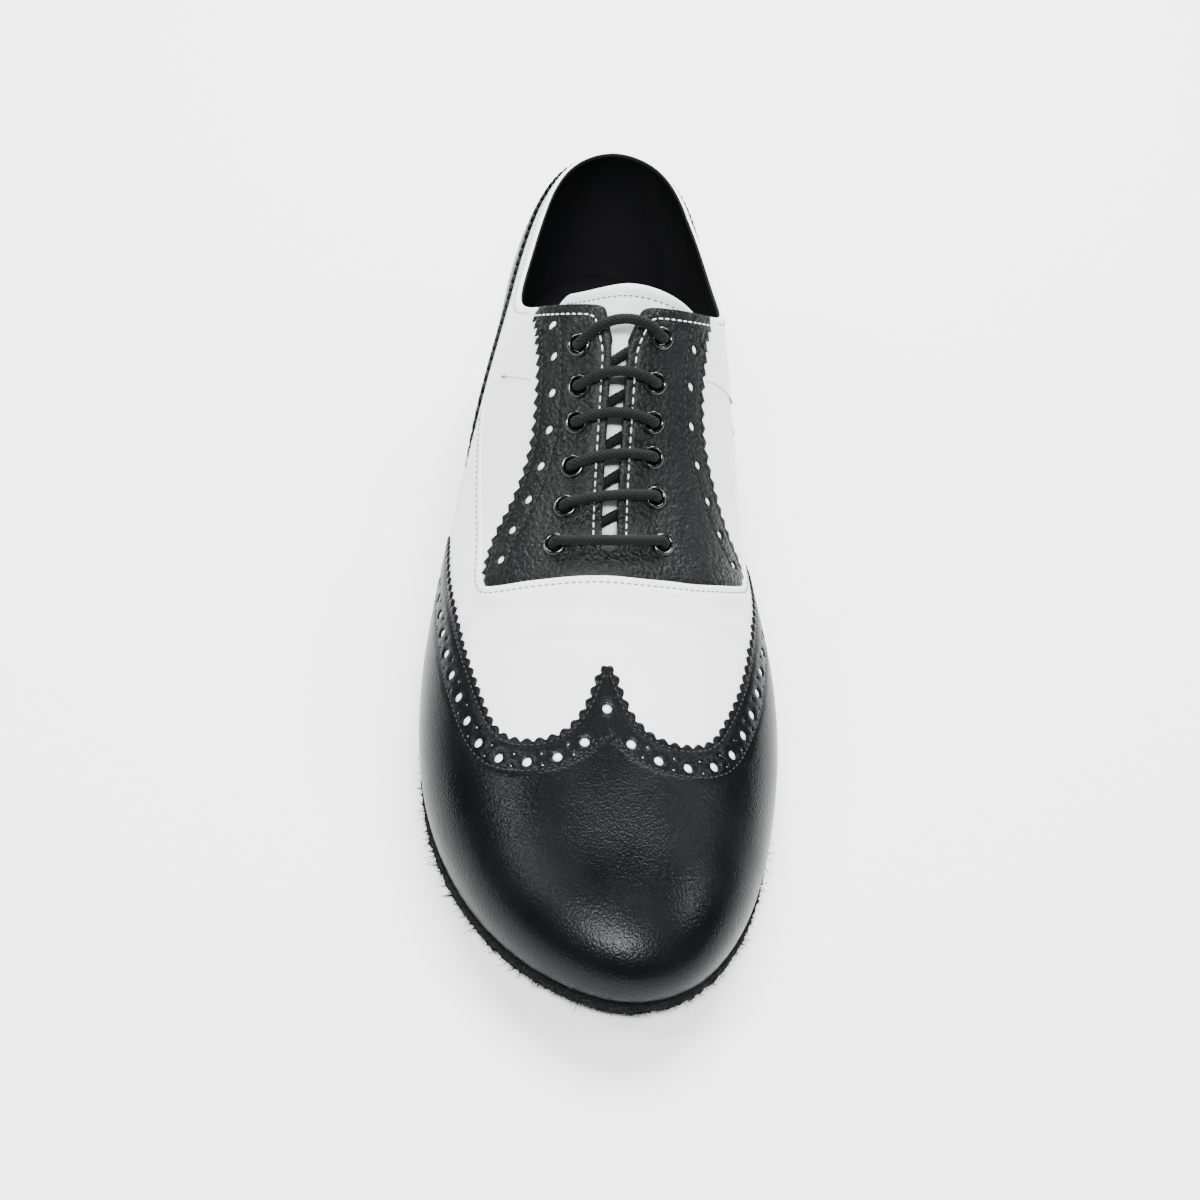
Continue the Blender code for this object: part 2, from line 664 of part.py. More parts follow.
def build_insole():

    def ring(along, left, right, y):
        bottom = float(sole_bottom(along)) + SOLE_THICKNESS + GAP
        top = bottom + INSOLE_THICKNESS
        return [(left, y, bottom), (right, y, bottom), (right, y, top), (left, y, top)]

    rows = sole_sections(offset_outline(FEATHER, -INSOLE_INSET), 32)
    return sheet_of_rows("insole", rows, ring, "black_lining")


def heel_ring(inset, z, breast):
    """Plan ring of the heel at height z: the sole's outline set in, closed by a straight front face."""
    outline = offset_outline(FEATHER, SOLE_EDGE - inset)
    limit = HEEL_Y - breast
    behind = [tuple(p) for p in outline if p[1] > limit]
    angles = [math.atan2(p[1] - limit, p[0]) for p in behind]
    ordered = [p for _, p in sorted(zip(angles, behind))]
    left, right = edges_at(outline, limit)
    thinned = ordered[2:-2:4]
    return [(right, limit, z), *[(x, y, z) for x, y in thinned], (left, limit, z)]


def build_heel_part(name, top, bottom, rings, colour):
    """Heel lift between two heights, tapered and raked between the seat and the floor."""
    levels = []
    for k in range(rings):
        z = bottom + (top - bottom) * k / (rings - 1)
        drop = 1 - z / HEEL_HEIGHT
        inset = HEEL_INSET + HEEL_TAPER * drop
        breast = SEAT_END * LENGTH - 0.001 - BREAST_RAKE * drop
        levels.append(heel_ring(inset, z, breast))
    shortest = min(len(level) for level in levels)
    even = []
    for level in levels:
        p = np.array(level)
        steps = np.concatenate([[0], np.cumsum(np.linalg.norm(np.diff(p, axis=0), axis=1))])
        at = np.linspace(0, steps[-1], shortest)
        even.append(np.column_stack([np.interp(at, steps, p[:, k]) for k in range(3)]))
    points = np.concatenate(even)
    faces = [tuple(range(shortest))[::-1], tuple(range(len(points) - shortest, len(points)))]
    for i in range(rings - 1):
        for k in range(shortest):
            a, b = i * shortest + k, i * shortest + (k + 1) % shortest
            faces.append((a, b, b + shortest, a + shortest))
    return solid(name, points, faces, colour)


def tongue_depth(along):
    """Depth of the tongue's top face under the last: clear of the laces, then up against the vamp."""
    under_lace = WALL + LACE_DIAMETER + 3 * GAP
    against_vamp = WALL + GAP
    share = ease((along - SLOT_END - TONGUE_MARGIN) / (TONGUE_ROOT - SLOT_END - 2 * TONGUE_MARGIN))
    return under_lace + (against_vamp - under_lace) * share


def build_tongue():
    """Tongue: a sheet that follows the ridge under the lacing and shows above it as a shallow arc."""
    rows, lanes = 14, 8
    outside, inside = [], []
    for i in range(rows):
        for k in range(lanes + 1):
            across = 2 * k / lanes - 1
            corner = TONGUE_CORNER * ease((abs(across) - 0.6) / 0.4)
            tip = TONGUE_TIP - TONGUE_SWEEP * across**2 + corner
            share = i / (rows - 1)
            along = TONGUE_ROOT + (tip - TONGUE_ROOT) * share
            half = TONGUE_ROOT_HALF + (TONGUE_TIP_HALF - TONGUE_ROOT_HALF) * share
            q = np.array([across * half, along * LENGTH])
            point, normal = chart_frame(q)
            depth = tongue_depth(along)
            outside.append(point - depth * normal)
            inside.append(point - (depth + TONGUE_THICKNESS) * normal)
    faces = []
    for i in range(rows - 1):
        for k in range(lanes):
            a = i * (lanes + 1) + k
            faces.append([a, a + 1, a + lanes + 2, a + lanes + 1])
    return shell("tongue", outside, inside, faces, "white_leather")


def eyelet_place(pair, side):
    outer_along, inner_along, arc, _ = EYELETS[pair]
    if side == INNER:
        return np.array([arc * BALL_WIDTH, inner_along * LENGTH])
    return np.array([-arc * BALL_WIDTH, outer_along * LENGTH])


def turned(name, base, normal, ring, sides, colour):
    """Solid turned round the normal at base from a closed profile of (radius, height)."""
    side = np.cross(normal, [0.0, 1.0, 0.0])
    side /= np.linalg.norm(side)
    other = np.cross(normal, side)
    points, faces = [], []
    for s in range(sides):
        angle = 2 * math.pi * s / sides
        spoke = math.cos(angle) * side + math.sin(angle) * other
        points += [base + r * spoke + h * normal for r, h in ring]
    count = len(ring)
    for s in range(sides):
        after = (s + 1) % sides
        for k in range(count):
            m = (k + 1) % count
            faces.append((s * count + k, s * count + m, after * count + m, after * count + k))
    return solid(name, points, faces, colour)


def build_eyelets():
    """A flanged eyelet through facing and upper at each place."""
    for pair in range(len(EYELETS)):
        for side, word in ((OUTER, "outer"), (INNER, "inner")):
            point, normal = chart_frame(eyelet_place(pair, side))
            face = point + (SEAM_GAP + OVERLAY) * normal
            foot = -(OVERLAY + SEAM_GAP + WALL)
            ring = [
                (EYELET_BORE, foot), (EYELET_BARREL, foot), (EYELET_BARREL, GAP),
                (EYELET_FLANGE, GAP), (EYELET_FLANGE - 0.0004, EYELET_RIM), (EYELET_BORE + 0.0003, EYELET_RIM),
            ]
            turned(f"eyelet_{word}_{pair + 1}", face, normal, ring, EYELET_SIDES, "black_metal")


def punch(obj):
    """Cuts the eyelet holes through a piece."""
    points, faces, sides = [], [], 12
    for pair in range(len(EYELETS)):
        for side in (OUTER, INNER):
            base, normal = chart_frame(eyelet_place(pair, side))
            spoke = np.cross(normal, [0.0, 1.0, 0.0])
            spoke /= np.linalg.norm(spoke)
            other = np.cross(normal, spoke)
            first = len(points)
            for height in (-0.005, 0.005):
                for s in range(sides):
                    angle = 2 * math.pi * (s + 0.5) / sides
                    arm = math.cos(angle) * spoke + math.sin(angle) * other
                    points.append(base + EYELET_HOLE * arm + height * normal)
            faces += [tuple(first + s for s in range(sides)), tuple(first + sides + s for s in range(sides))]
            for s in range(sides):
                t = (s + 1) % sides
                faces.append((first + s, first + t, first + sides + t, first + sides + s))
    cutter = solid(f"punch_for_{obj.name}", points, faces, "black_metal", smooth=False)
    cutter.hide_render = True
    cutter.display_type = "WIRE"
    cut = obj.modifiers.new("eyelet holes", "BOOLEAN")
    cut.operation = "DIFFERENCE"
    cut.object = cutter


def lace_route():
    """Centre line of the lace, as chart places and heights over the last.

    Slack bars on top, from the inner eyelet to the outer one, and slants underneath up to the next pair."""
    radius = LACE_DIAMETER / 2
    over = SEAM_GAP + OVERLAY + EYELET_RIM + GAP + radius
    under = -(WALL + GAP + radius)
    route = []

    def run(start, end, height, arch, bow, steps):
        span = end - start
        unit = span / np.linalg.norm(span)
        first, last = start + LACE_BEND * unit, end - LACE_BEND * unit
        for k in range(steps + 1):
            share = k / steps
            rise = math.sin(math.pi * share)
            place = first + share * (last - first) - [0.0, bow * rise]
            route.append((place, height + arch * rise))

    pairs = len(EYELETS)
    for pair in range(pairs):
        inner, outer = eyelet_place(pair, INNER), eyelet_place(pair, OUTER)
        route.append((inner, under + LACE_BEND))
        route.append((inner, over - LACE_BEND))
        run(inner, outer, over, LACE_ARCH, EYELETS[pair][3] * BALL_WIDTH, 4)
        route.append((outer, over - LACE_BEND))
        route.append((outer, under + LACE_BEND))
        if pair < pairs - 1:
            run(outer, eyelet_place(pair + 1, INNER), under, 0.0, 0.0, 3)
    return route


def build_lace():
    points = []
    for place, height in lace_route():
        point, normal = chart_frame(place)
        points.append(point + height * normal)
    data = bpy.data.curves.new("lace", "CURVE")
    data.dimensions = "3D"
    line = data.splines.new("POLY")
    line.points.add(len(points) - 1)
    for knot, p in zip(line.points, points):
        knot.co = (*map(float, p), 1.0)
    data.bevel_depth = LACE_DIAMETER / 2
    data.bevel_resolution = 2
    data.use_fill_caps = True
    return new_object("lace", data, "black_lace")


def build():
    for obj in list(bpy.data.objects):
        bpy.data.objects.remove(obj)
    grid, arcs = frame_grid()
    normals = grid_normals(grid)
    chart = frame_chart(arcs)
    upper = build_upper(grid, normals)
    facing = patch("facing", facing_loop(), chart, "black_leather")
    patch("toe_cap", toe_cap_loop(), chart, "black_leather")
    build_counter(grid, normals)
    punch(upper)
    punch(facing)
    build_outsole()
    build_insole()
    build_heel_part("heel", HEEL_HEIGHT - GAP, HEEL_TIP_THICKNESS + GAP, 4, "black_heel")
    build_heel_part("heel_tip", HEEL_TIP_THICKNESS, 0.0, 2, "black_suede")
    build_tongue()
    build_eyelets()
    build_lace()


build()
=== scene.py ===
import math

import bpy
import numpy as np
from mathutils import Matrix, Vector
from mathutils.geometry import delaunay_2d_cdt


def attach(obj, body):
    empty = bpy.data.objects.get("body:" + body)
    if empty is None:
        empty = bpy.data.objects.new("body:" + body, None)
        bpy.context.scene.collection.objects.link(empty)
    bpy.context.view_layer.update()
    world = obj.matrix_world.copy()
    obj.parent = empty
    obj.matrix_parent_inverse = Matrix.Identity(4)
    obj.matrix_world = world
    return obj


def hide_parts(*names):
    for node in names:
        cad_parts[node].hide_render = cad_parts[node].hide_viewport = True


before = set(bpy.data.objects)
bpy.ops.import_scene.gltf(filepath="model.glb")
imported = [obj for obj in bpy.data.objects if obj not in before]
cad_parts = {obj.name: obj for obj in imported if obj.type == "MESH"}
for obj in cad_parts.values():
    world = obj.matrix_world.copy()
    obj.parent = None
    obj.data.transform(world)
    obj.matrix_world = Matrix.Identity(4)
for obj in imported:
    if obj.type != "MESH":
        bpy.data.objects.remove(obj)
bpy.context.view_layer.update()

# The last: the wooden form that a right shoe is made on. It isn't a piece of the shoe, but every pattern
# piece is laid out on it. Its half sections are curves that rise from the feather line, where upper and sole
# meet, over the wall to the ridge along the top, and fan out round the toe and the heel.
LENGTH = 0.276
BALL_WIDTH = 0.100
INSTEP_HEIGHT = 0.086
HEEL_HEIGHT = 0.025
TOE_SPRING = 0.008
SOLE_THICKNESS = 0.0040
GAP = 0.0003  # clearance between pieces that lie on each other
CENTRE_X = 0.0019
HEEL_Y = LENGTH / 2 - 0.0006
HEEL_PIVOT = 0.130  # along, behind which the sections fan out round the heel
TOE_PIVOT = 0.868  # along, in front of which they fan out round the toe
SEAT_END = 0.225  # along, where the heel ends
TREAD_START = 0.600
TREAD_END = 0.745  # along, where the toe spring starts
INNER, OUTER = 0.0, math.pi  # directions in plan
SIGN = {INNER: 1, OUTER: -1}

FEATHER_LINE = (
    # along (share of LENGTH), across (share of BALL_WIDTH, + on the inner side)
    (0.000, 0.000), (0.030, -0.175), (0.095, -0.275), (0.200, -0.320), (0.345, -0.365),
    (0.480, -0.430), (0.600, -0.482), (0.690, -0.500), (0.780, -0.480), (0.865, -0.402),
    (0.935, -0.275), (0.983, -0.110), (1.000, 0.055), (0.985, 0.195), (0.940, 0.312),
    (0.870, 0.400), (0.790, 0.450), (0.715, 0.468), (0.630, 0.452), (0.540, 0.408),
    (0.440, 0.350), (0.330, 0.305), (0.200, 0.290), (0.095, 0.255), (0.030, 0.165),
)
RIDGE = (
    # along, height above the sole (share of INSTEP_HEIGHT), across
    (0.130, 0.910, 0.022), (0.220, 1.000, 0.038), (0.310, 1.040, 0.030), (0.385, 0.985, -0.008),
    (0.460, 0.870, -0.020), (0.545, 0.735, -0.025), (0.640, 0.605, -0.025), (0.725, 0.495, -0.025),
    (0.805, 0.405, -0.018), (0.868, 0.345, -0.008),
)
WALLS = (
    # along, outer and inner wall (share of height), outer and inner crown (share of width), lean (degrees)
    (0.00, 0.60, 0.60, 0.58, 0.58, 11, 11),
    (0.13, 0.50, 0.52, 0.46, 0.56, 12, 12),
    (0.28, 0.50, 0.58, 0.46, 0.66, 15, 15),
    (0.38, 0.54, 0.60, 0.54, 0.66, 18, 17),
    (0.48, 0.57, 0.57, 0.58, 0.60, 21, 18),
    (0.60, 0.62, 0.62, 0.58, 0.58, 23, 21),
    (0.75, 0.65, 0.65, 0.58, 0.58, 20, 18),
    (0.87, 0.66, 0.66, 0.60, 0.60, 16, 15),
    (1.00, 0.68, 0.68, 0.62, 0.62, 14, 14),
)


class Curve:
    """Natural cubic spline through (xs, ys)."""

    def __init__(self, xs, ys):
        self.xs, self.ys = np.asarray(xs, float), np.asarray(ys, float)
        self.steps = np.diff(self.xs)
        count = len(self.xs)
        system, target = np.eye(count), np.zeros(count)
        for i in range(1, count - 1):
            before, after = self.steps[i - 1], self.steps[i]
            system[i, i - 1 : i + 2] = before, 2 * (before + after), after
            rise = (self.ys[i + 1] - self.ys[i]) / after - (self.ys[i] - self.ys[i - 1]) / before
            target[i] = 6 * rise
        self.bends = np.linalg.solve(system, target)

    def __call__(self, at):
        at = np.asarray(at, float)
        k = np.clip(np.searchsorted(self.xs, at) - 1, 0, len(self.xs) - 2)
        step, low, high = self.steps[k], at - self.xs[k], self.xs[k + 1] - at
        return (
            (self.bends[k] * high**3 + self.bends[k + 1] * low**3) / (6 * step)
            + (self.ys[k] / step - self.bends[k] * step / 6) * high
            + (self.ys[k + 1] / step - self.bends[k + 1] * step / 6) * low
        )


def columns(table):
    """One spline for each column of a table, over its first column."""
    rows = np.array(table, float)
    return [Curve(rows[:, 0], rows[:, c]) for c in range(1, rows.shape[1])]


def closed_curve(points, per_span):
    """Closed cubic spline through plan points."""
    p = np.asarray(points, float)
    count = len(p)
    chord = np.roll(p, -1, axis=0) - p
    step = np.sqrt((chord**2).sum(1))
    system = np.zeros((count, count))
    for i in range(count):
        system[i, i - 1] += step[i - 1]
        system[i, i] += 2 * (step[i - 1] + step[i])
        system[i, (i + 1) % count] += step[i]
    slope = chord / step[:, None]
    bends = np.linalg.solve(system, 6 * (slope - np.roll(slope, 1, axis=0)))
    out = []
    for i in range(count):
        j = (i + 1) % count
        for share in np.arange(per_span) / per_span:
            low, high = share * step[i], (1 - share) * step[i]
            out.append(
                (bends[i] * high**3 + bends[j] * low**3) / (6 * step[i])
                + (p[i] / step[i] - bends[i] * step[i] / 6) * high
                + (p[j] / step[i] - bends[j] * step[i] / 6) * low
            )
    return np.array(out)


def ease(share):
    share = np.clip(share, 0, 1)
    return share**3 * (10 - 15 * share + 6 * share**2)


def sole_bottom(along):
    """Height of the sole's underside: level seat, waist, flat tread and toe spring."""
    along = np.asarray(along, float)
    seat = HEEL_HEIGHT * (1 - ease((along - SEAT_END) / (TREAD_START - SEAT_END)))
    return seat + TOE_SPRING * np.clip((along - TREAD_END) / (1 - TREAD_END), 0, 1) ** 2


def plan_point(along, across):
    return np.array([CENTRE_X + across * BALL_WIDTH, HEEL_Y - along * LENGTH])


def reach(outline, origin, direction):
    """Distance from origin to the outline along direction, in plan."""
    run = np.roll(outline, -1, axis=0) - outline
    gap = outline - origin
    cross = direction[0] * run[:, 1] - direction[1] * run[:, 0]
    cross = np.where(np.abs(cross) < 1e-15, 1e-15, cross)
    far = (gap[:, 0] * run[:, 1] - gap[:, 1] * run[:, 0]) / cross
    share = (gap[:, 0] * direction[1] - gap[:, 1] * direction[0]) / cross
    return far[(share >= -1e-9) & (share <= 1 + 1e-9) & (far > 0)].max()


feather = closed_curve([plan_point(*row) for row in FEATHER_LINE], 24)
ridge_height, ridge_across = columns(RIDGE)
wall_shape = columns(WALLS)


def reach_curve(along, angle):
    """Spline of the reach over whichever of along and angle is an array."""
    along, angle = np.broadcast_arrays(along, angle)
    far = [
        reach(feather, plan_point(a, ridge_across(a)), np.array([math.cos(g), -math.sin(g)]))
        for a, g in zip(along, angle)
    ]
    return Curve(along if along[0] != along[-1] else angle, far)


body = np.linspace(HEEL_PIVOT, TOE_PIVOT, 90)
inner_reach, outer_reach = reach_curve(body, INNER), reach_curve(body, OUTER)
toe_reach = reach_curve(TOE_PIVOT, np.linspace(0, math.pi, 60))
heel_reach = reach_curve(HEEL_PIVOT, np.linspace(math.pi, 2 * math.pi, 60))


def ridge_top(along):
    height = ridge_height(along) * INSTEP_HEIGHT + sole_bottom(along) + SOLE_THICKNESS
    return np.stack([CENTRE_X + ridge_across(along) * BALL_WIDTH, HEEL_Y - along * LENGTH, height], -1)


def half_sections(along, angle):
    """Bezier points of half sections, from the feather line up to the ridge.

    angle is the direction in plan: 0 the inner side, pi / 2 the toe, pi the outer side, 3 pi / 2 the heel."""
    top = ridge_top(along)
    flat = np.stack([np.cos(angle), -np.sin(angle), 0 * angle], -1)
    width = np.where(np.cos(angle) > 0, inner_reach(along), outer_reach(along))
    width = np.where(along > TOE_PIVOT - 1e-9, toe_reach(angle), width)
    behind = heel_reach(np.where(angle < math.pi / 2, angle + 2 * math.pi, angle))
    width = np.where(along < HEEL_PIVOT + 1e-9, behind, width)[:, None]
    foot = top + width * flat
    foot_along = (HEEL_Y - foot[:, 1]) / LENGTH
    foot[:, 2] = sole_bottom(foot_along) + SOLE_THICKNESS + GAP
    outer = (1 - np.cos(angle)) / 2
    wall, crown, lean = (
        outer * wall_shape[k](foot_along) + (1 - outer) * wall_shape[k + 1](foot_along)
        for k in (0, 2, 4)
    )
    up = np.array([0.0, 0.0, 1.0])
    step = 0.01
    slope = (top[:, 2] - ridge_top(along - step)[:, 2]) / (step * LENGTH)
    lean = np.radians(lean)[:, None]
    handle = (wall * (top[:, 2] - foot[:, 2]))[:, None]
    upright = np.sin(lean) * flat + np.cos(lean) * up
    level = flat + (slope * np.sin(angle))[:, None] * up
    return np.stack([foot, foot + handle * upright, top + crown[:, None] * width * level, top], 1)


def on_curve(control, t):
    """Points of Bezier curves: control (n, 4, 3), t (n,) or (n, m)."""
    t = t[..., None]
    a, b, c, d = (control[:, k] if t.ndim == 2 else control[:, k, None] for k in range(4))
    return (1 - t) ** 3 * a + 3 * (1 - t) ** 2 * t * b + 3 * (1 - t) * t**2 * c + t**3 * d


def share_at(control, arc, samples=56):
    """Curve parameter at a distance over the surface from the ridge, and each curve's whole length."""
    ts = np.linspace(1, 0, samples)
    points = on_curve(control, np.broadcast_to(ts, (len(control), samples)))
    steps = np.linalg.norm(np.diff(points, axis=1), axis=2)
    run = np.concatenate([np.zeros((len(control), 1)), np.cumsum(steps, axis=1)], 1)
    k = np.clip((run < arc[:, None]).sum(1) - 1, 0, samples - 2)
    rows = np.arange(len(control))
    part = np.clip((arc - run[rows, k]) / (run[rows, k + 1] - run[rows, k]), 0, 1)
    return ts[k] + part * (ts[k + 1] - ts[k]), run[:, -1]


def on_last(along, angle, arc, from_feather=False):
    """Points and outward normals of the last at a distance from its ridge, or from its feather line."""
    along, angle, arc = (np.array(v, float) for v in np.broadcast_arrays(along, angle, arc))
    points, normals = [], []
    batch = 15000
    for first in range(0, len(along), batch):
        part = slice(first, first + batch)
        a, g, s = along[part], angle[part], arc[part]
        control = half_sections(a, g)
        if from_feather:
            s = share_at(control, s)[1] - s
        t = share_at(control, s)[0]
        points.append(on_curve(control, t))
        t = np.minimum(t, 0.997)  # on the ridge itself a fan's sections meet
        step, fan_radius = 0.0006, 0.045
        fan = (a > TOE_PIVOT - 1e-9) | (a < HEEL_PIVOT + 1e-9)
        way = np.where(np.cos(g) > 0, 1.0, -1.0)
        da, dg = np.where(fan, 0, way * step / LENGTH), np.where(fan, step / fan_radius, 0)
        ahead, behind = (on_curve(half_sections(a + k * da, g + k * dg), t) for k in (1, -1))
        above, below = (on_curve(control, t + k * 0.003) for k in (1, -1))
        normal = np.cross(above - below, ahead - behind)
        normals.append(normal / np.linalg.norm(normal, axis=1)[:, None])
    return np.concatenate(points), np.concatenate(normals)


def on_chart(q):
    """Last's points and normals at chart positions: q[:, 0] is the distance over the surface from the ridge,
    + inwards, and q[:, 1] the distance from the heel's back. In front of the toe pivot it is polar."""
    q = np.asarray(q, float).reshape(-1, 2)
    gap = q[:, 1] - TOE_PIVOT * LENGTH
    fan = gap > 0
    along = np.where(fan, TOE_PIVOT, q[:, 1] / LENGTH)
    angle = np.where(fan, np.arctan2(gap, q[:, 0]), np.where(q[:, 0] >= 0, INNER, OUTER))
    return on_last(along, angle, np.where(fan, np.hypot(q[:, 0], gap), np.abs(q[:, 0])))


def on_heel(w):
    """Last's points and normals round the back: w[:, 0] is the distance round from the heel's middle,
    + on the inner side, and w[:, 1] the distance up the wall from the feather line."""
    w = np.asarray(w, float).reshape(-1, 2)
    radius = HEEL_PIVOT * LENGTH
    fan = np.abs(w[:, 0]) < math.pi / 2 * radius - 1e-9
    along = np.where(fan, HEEL_PIVOT, HEEL_PIVOT + (np.abs(w[:, 0]) - math.pi / 2 * radius) / LENGTH)
    angle = np.where(fan, 1.5 * math.pi + w[:, 0] / radius, np.where(w[:, 0] >= 0, INNER, OUTER))
    return on_last(along, angle, w[:, 1], from_feather=True)


# Lining and insole: a black leather sock on the sole and a black leather lining glued inside the upper. Both
# are seen only through the collar, dull and almost without grain.
WALL = 0.0018
INSOLE_LIFT = 0.0003


def node_group(name, inputs, outputs):
    """Empty shader node group with named float or colour sockets: {name: default}."""
    group = bpy.data.node_groups.new(name, "ShaderNodeTree")
    for label, default in inputs.items():
        kind = "NodeSocketColor" if isinstance(default, tuple) else "NodeSocketFloat"
        group.interface.new_socket(label, in_out="INPUT", socket_type=kind).default_value = default
    for label, kind in outputs.items():
        group.interface.new_socket(label, in_out="OUTPUT", socket_type=kind)
    return group, group.nodes.new("NodeGroupInput"), group.nodes.new("NodeGroupOutput")


def plug(tree, made, **settings):
    """Sets up a shader node. A value that is a node or a socket is linked, and any other is set. Inputs go by
    their names in small letters or, as in0, in1 and so on, by their numbers."""
    for label, value in settings.items():
        value = value.outputs[0] if isinstance(value, bpy.types.Node) else value
        linked = isinstance(value, bpy.types.NodeSocket)
        if hasattr(made, label) and not linked:
            setattr(made, label, value)
            continue
        names = [socket.name.replace(" ", "_").lower() for socket in made.inputs]
        by_number = label[:2] == "in" and label[2:].isdigit()
        socket = made.inputs[int(label[2:]) if by_number else names.index(label)]
        if linked:
            tree.links.new(value, socket)
        else:
            socket.default_value = value
    return made


def node(tree, kind, **settings):
    return plug(tree, tree.nodes.new(kind), **settings)


def two_tone(tree, share, dark, light):
    """Colour that goes from dark to light with the share."""
    mix = node(tree, "ShaderNodeMix", data_type="RGBA", in0=share, in6=(*dark, 1), in7=(*light, 1))
    return mix.outputs[2]


def new_material(name):
    """Material with its node tree and its shader."""
    material = bpy.data.materials.new(name)
    material.use_nodes = True
    return material, material.node_tree, material.node_tree.nodes["Principled BSDF"]


# Leather grain: small rounded cells with creases between them, fine pores, and soft wrinkles.
grain, grain_in, grain_out = node_group(
    "leather grain",
    {"Cells per metre": 1100.0, "Cell depth": 0.6, "Wrinkles per metre": 140.0, "Wrinkle depth": 0.3},
    {"Height": "NodeSocketFloat", "Tone": "NodeSocketFloat"},
)
place = node(grain, "ShaderNodeTexCoord").outputs["Object"]
warp = node(grain, "ShaderNodeTexNoise", vector=place, scale=420.0, detail=2.0)
pushed = node(grain, "ShaderNodeVectorMath", operation="MULTIPLY_ADD", in0=warp.outputs["Color"],
              in1=(0.0007, 0.0007, 0.0007), in2=place)
cells = node(grain, "ShaderNodeTexVoronoi", feature="SMOOTH_F1", vector=pushed,
             scale=grain_in.outputs["Cells per metre"])
pores = node(grain, "ShaderNodeTexNoise", vector=place, scale=2600.0, detail=2.0)
folds = node(grain, "ShaderNodeTexNoise", vector=pushed, scale=grain_in.outputs["Wrinkles per metre"],
             detail=4.0, roughness=0.62, distortion=0.7)
middle = node(grain, "ShaderNodeMath", operation="SUBTRACT", in0=folds.outputs[0], in1=0.5)
ridges = node(grain, "ShaderNodeMath", operation="ABSOLUTE", in0=middle)
specks = node(grain, "ShaderNodeMath", operation="MULTIPLY", in0=pores.outputs[0], in1=0.5)
domes = node(grain, "ShaderNodeMath", operation="SUBTRACT", in0=specks, in1=cells.outputs["Distance"])
small = node(grain, "ShaderNodeMath", operation="MULTIPLY", in0=domes, in1=grain_in.outputs["Cell depth"])
height = node(grain, "ShaderNodeMath", operation="MULTIPLY_ADD", in0=ridges,
              in1=grain_in.outputs["Wrinkle depth"], in2=small)
blotch = node(grain, "ShaderNodeTexNoise", vector=place, scale=38.0, detail=3.0)
grain.links.new(height.outputs[0], grain_out.inputs["Height"])
grain.links.new(blotch.outputs[0], grain_out.inputs["Tone"])


def leather(name, dark, light, smooth, rough, grain_values, depth, coat=0.0, sheen=0.0, gleam=0.5):
    """Leather whose colour and roughness vary between two values with the grain's blotches."""
    material, tree, shader = new_material(name)
    skin = node(tree, "ShaderNodeGroup", node_tree=grain)
    for label, value in grain_values.items():
        skin.inputs[label].default_value = value
    gloss = node(tree, "ShaderNodeMapRange", value=skin.outputs["Tone"], from_min=0.3, from_max=0.7,
                 to_min=smooth, to_max=rough)
    bump = node(tree, "ShaderNodeBump", strength=1.0, distance=depth, height=skin.outputs["Height"])
    plug(tree, shader, base_color=two_tone(tree, skin.outputs["Tone"], dark, light), roughness=gloss,
         normal=bump, coat_weight=coat, coat_roughness=0.25, sheen_weight=sheen, specular_ior_level=gleam)
    return material


lining_leather = leather(
    "black lining leather", (0.004, 0.004, 0.005), (0.008, 0.008, 0.009), 0.75, 0.9,
    {"Cells per metre": 900.0, "Cell depth": 0.4, "Wrinkles per metre": 60.0, "Wrinkle depth": 0.2},
    depth=0.00010, gleam=0.15,
)


def new_piece(name, points, faces, materials, replaced=(), kinds=None, sharp=None):
    """Mesh piece that rides on the shoe. kinds gives each face's material, and sharp an edge angle."""
    mesh = bpy.data.meshes.new(name)
    mesh.from_pydata(np.asarray(points).tolist(), [], [list(map(int, f)) for f in faces])
    for material in materials:
        mesh.materials.append(material)
    if kinds is not None:
        mesh.polygons.foreach_set("material_index", np.asarray(kinds, np.int32))
    mesh.shade_smooth()
    if sharp:
        mesh.set_sharp_from_angle(angle=math.radians(sharp))
    mesh.validate()
    piece = bpy.data.objects.new(name, mesh)
    bpy.context.scene.collection.objects.link(piece)
    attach(piece, "root")
    if replaced:
        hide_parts(*replaced)


def offset_outline(outline, distance):
    """Plan outline moved outwards by distance."""
    run = np.roll(outline, -1, axis=0) - np.roll(outline, 1, axis=0)
    normal = np.column_stack([-run[:, 1], run[:, 0]])
    normal /= np.linalg.norm(normal, axis=1)[:, None]
    if ((outline - outline.mean(axis=0)) * normal).sum() < 0:
        normal = -normal
    return outline + distance * normal


def round_faces(rings, count, first=0):
    """Faces that join rings of count points each, of which the lowest starts at point first."""
    return [
        (a + k, a + (k + 1) % count, a + count + (k + 1) % count, a + count + k)
        for a in range(first, first + (rings - 1) * count, count) for k in range(count)
    ]


def plate(name, rings, material, replaced, rows=26):
    """Closed plate from rings of points that run round it, lowest first. Its two faces are filled with
    smaller copies of the ring, which follow the sole's own curve."""
    middle = rings[0].mean(axis=0)

    def inwards(ring):
        rise = ring[:, 2] - sole_bottom((HEEL_Y - ring[:, 1]) / LENGTH)
        fill = []
        for share in np.linspace(1, 0, rows)[1:]:
            flat = middle[:2] * (1 - share) + ring[:, :2] * share
            fill.append(np.column_stack([flat, sole_bottom((HEEL_Y - flat[:, 1]) / LENGTH) + rise]))
        return fill

    levels = [*inwards(rings[0])[::-1], *rings, *inwards(rings[-1])]
    faces = round_faces(len(levels), len(rings[0]))
    new_piece(name, np.concatenate(levels), faces, [material], replaced)


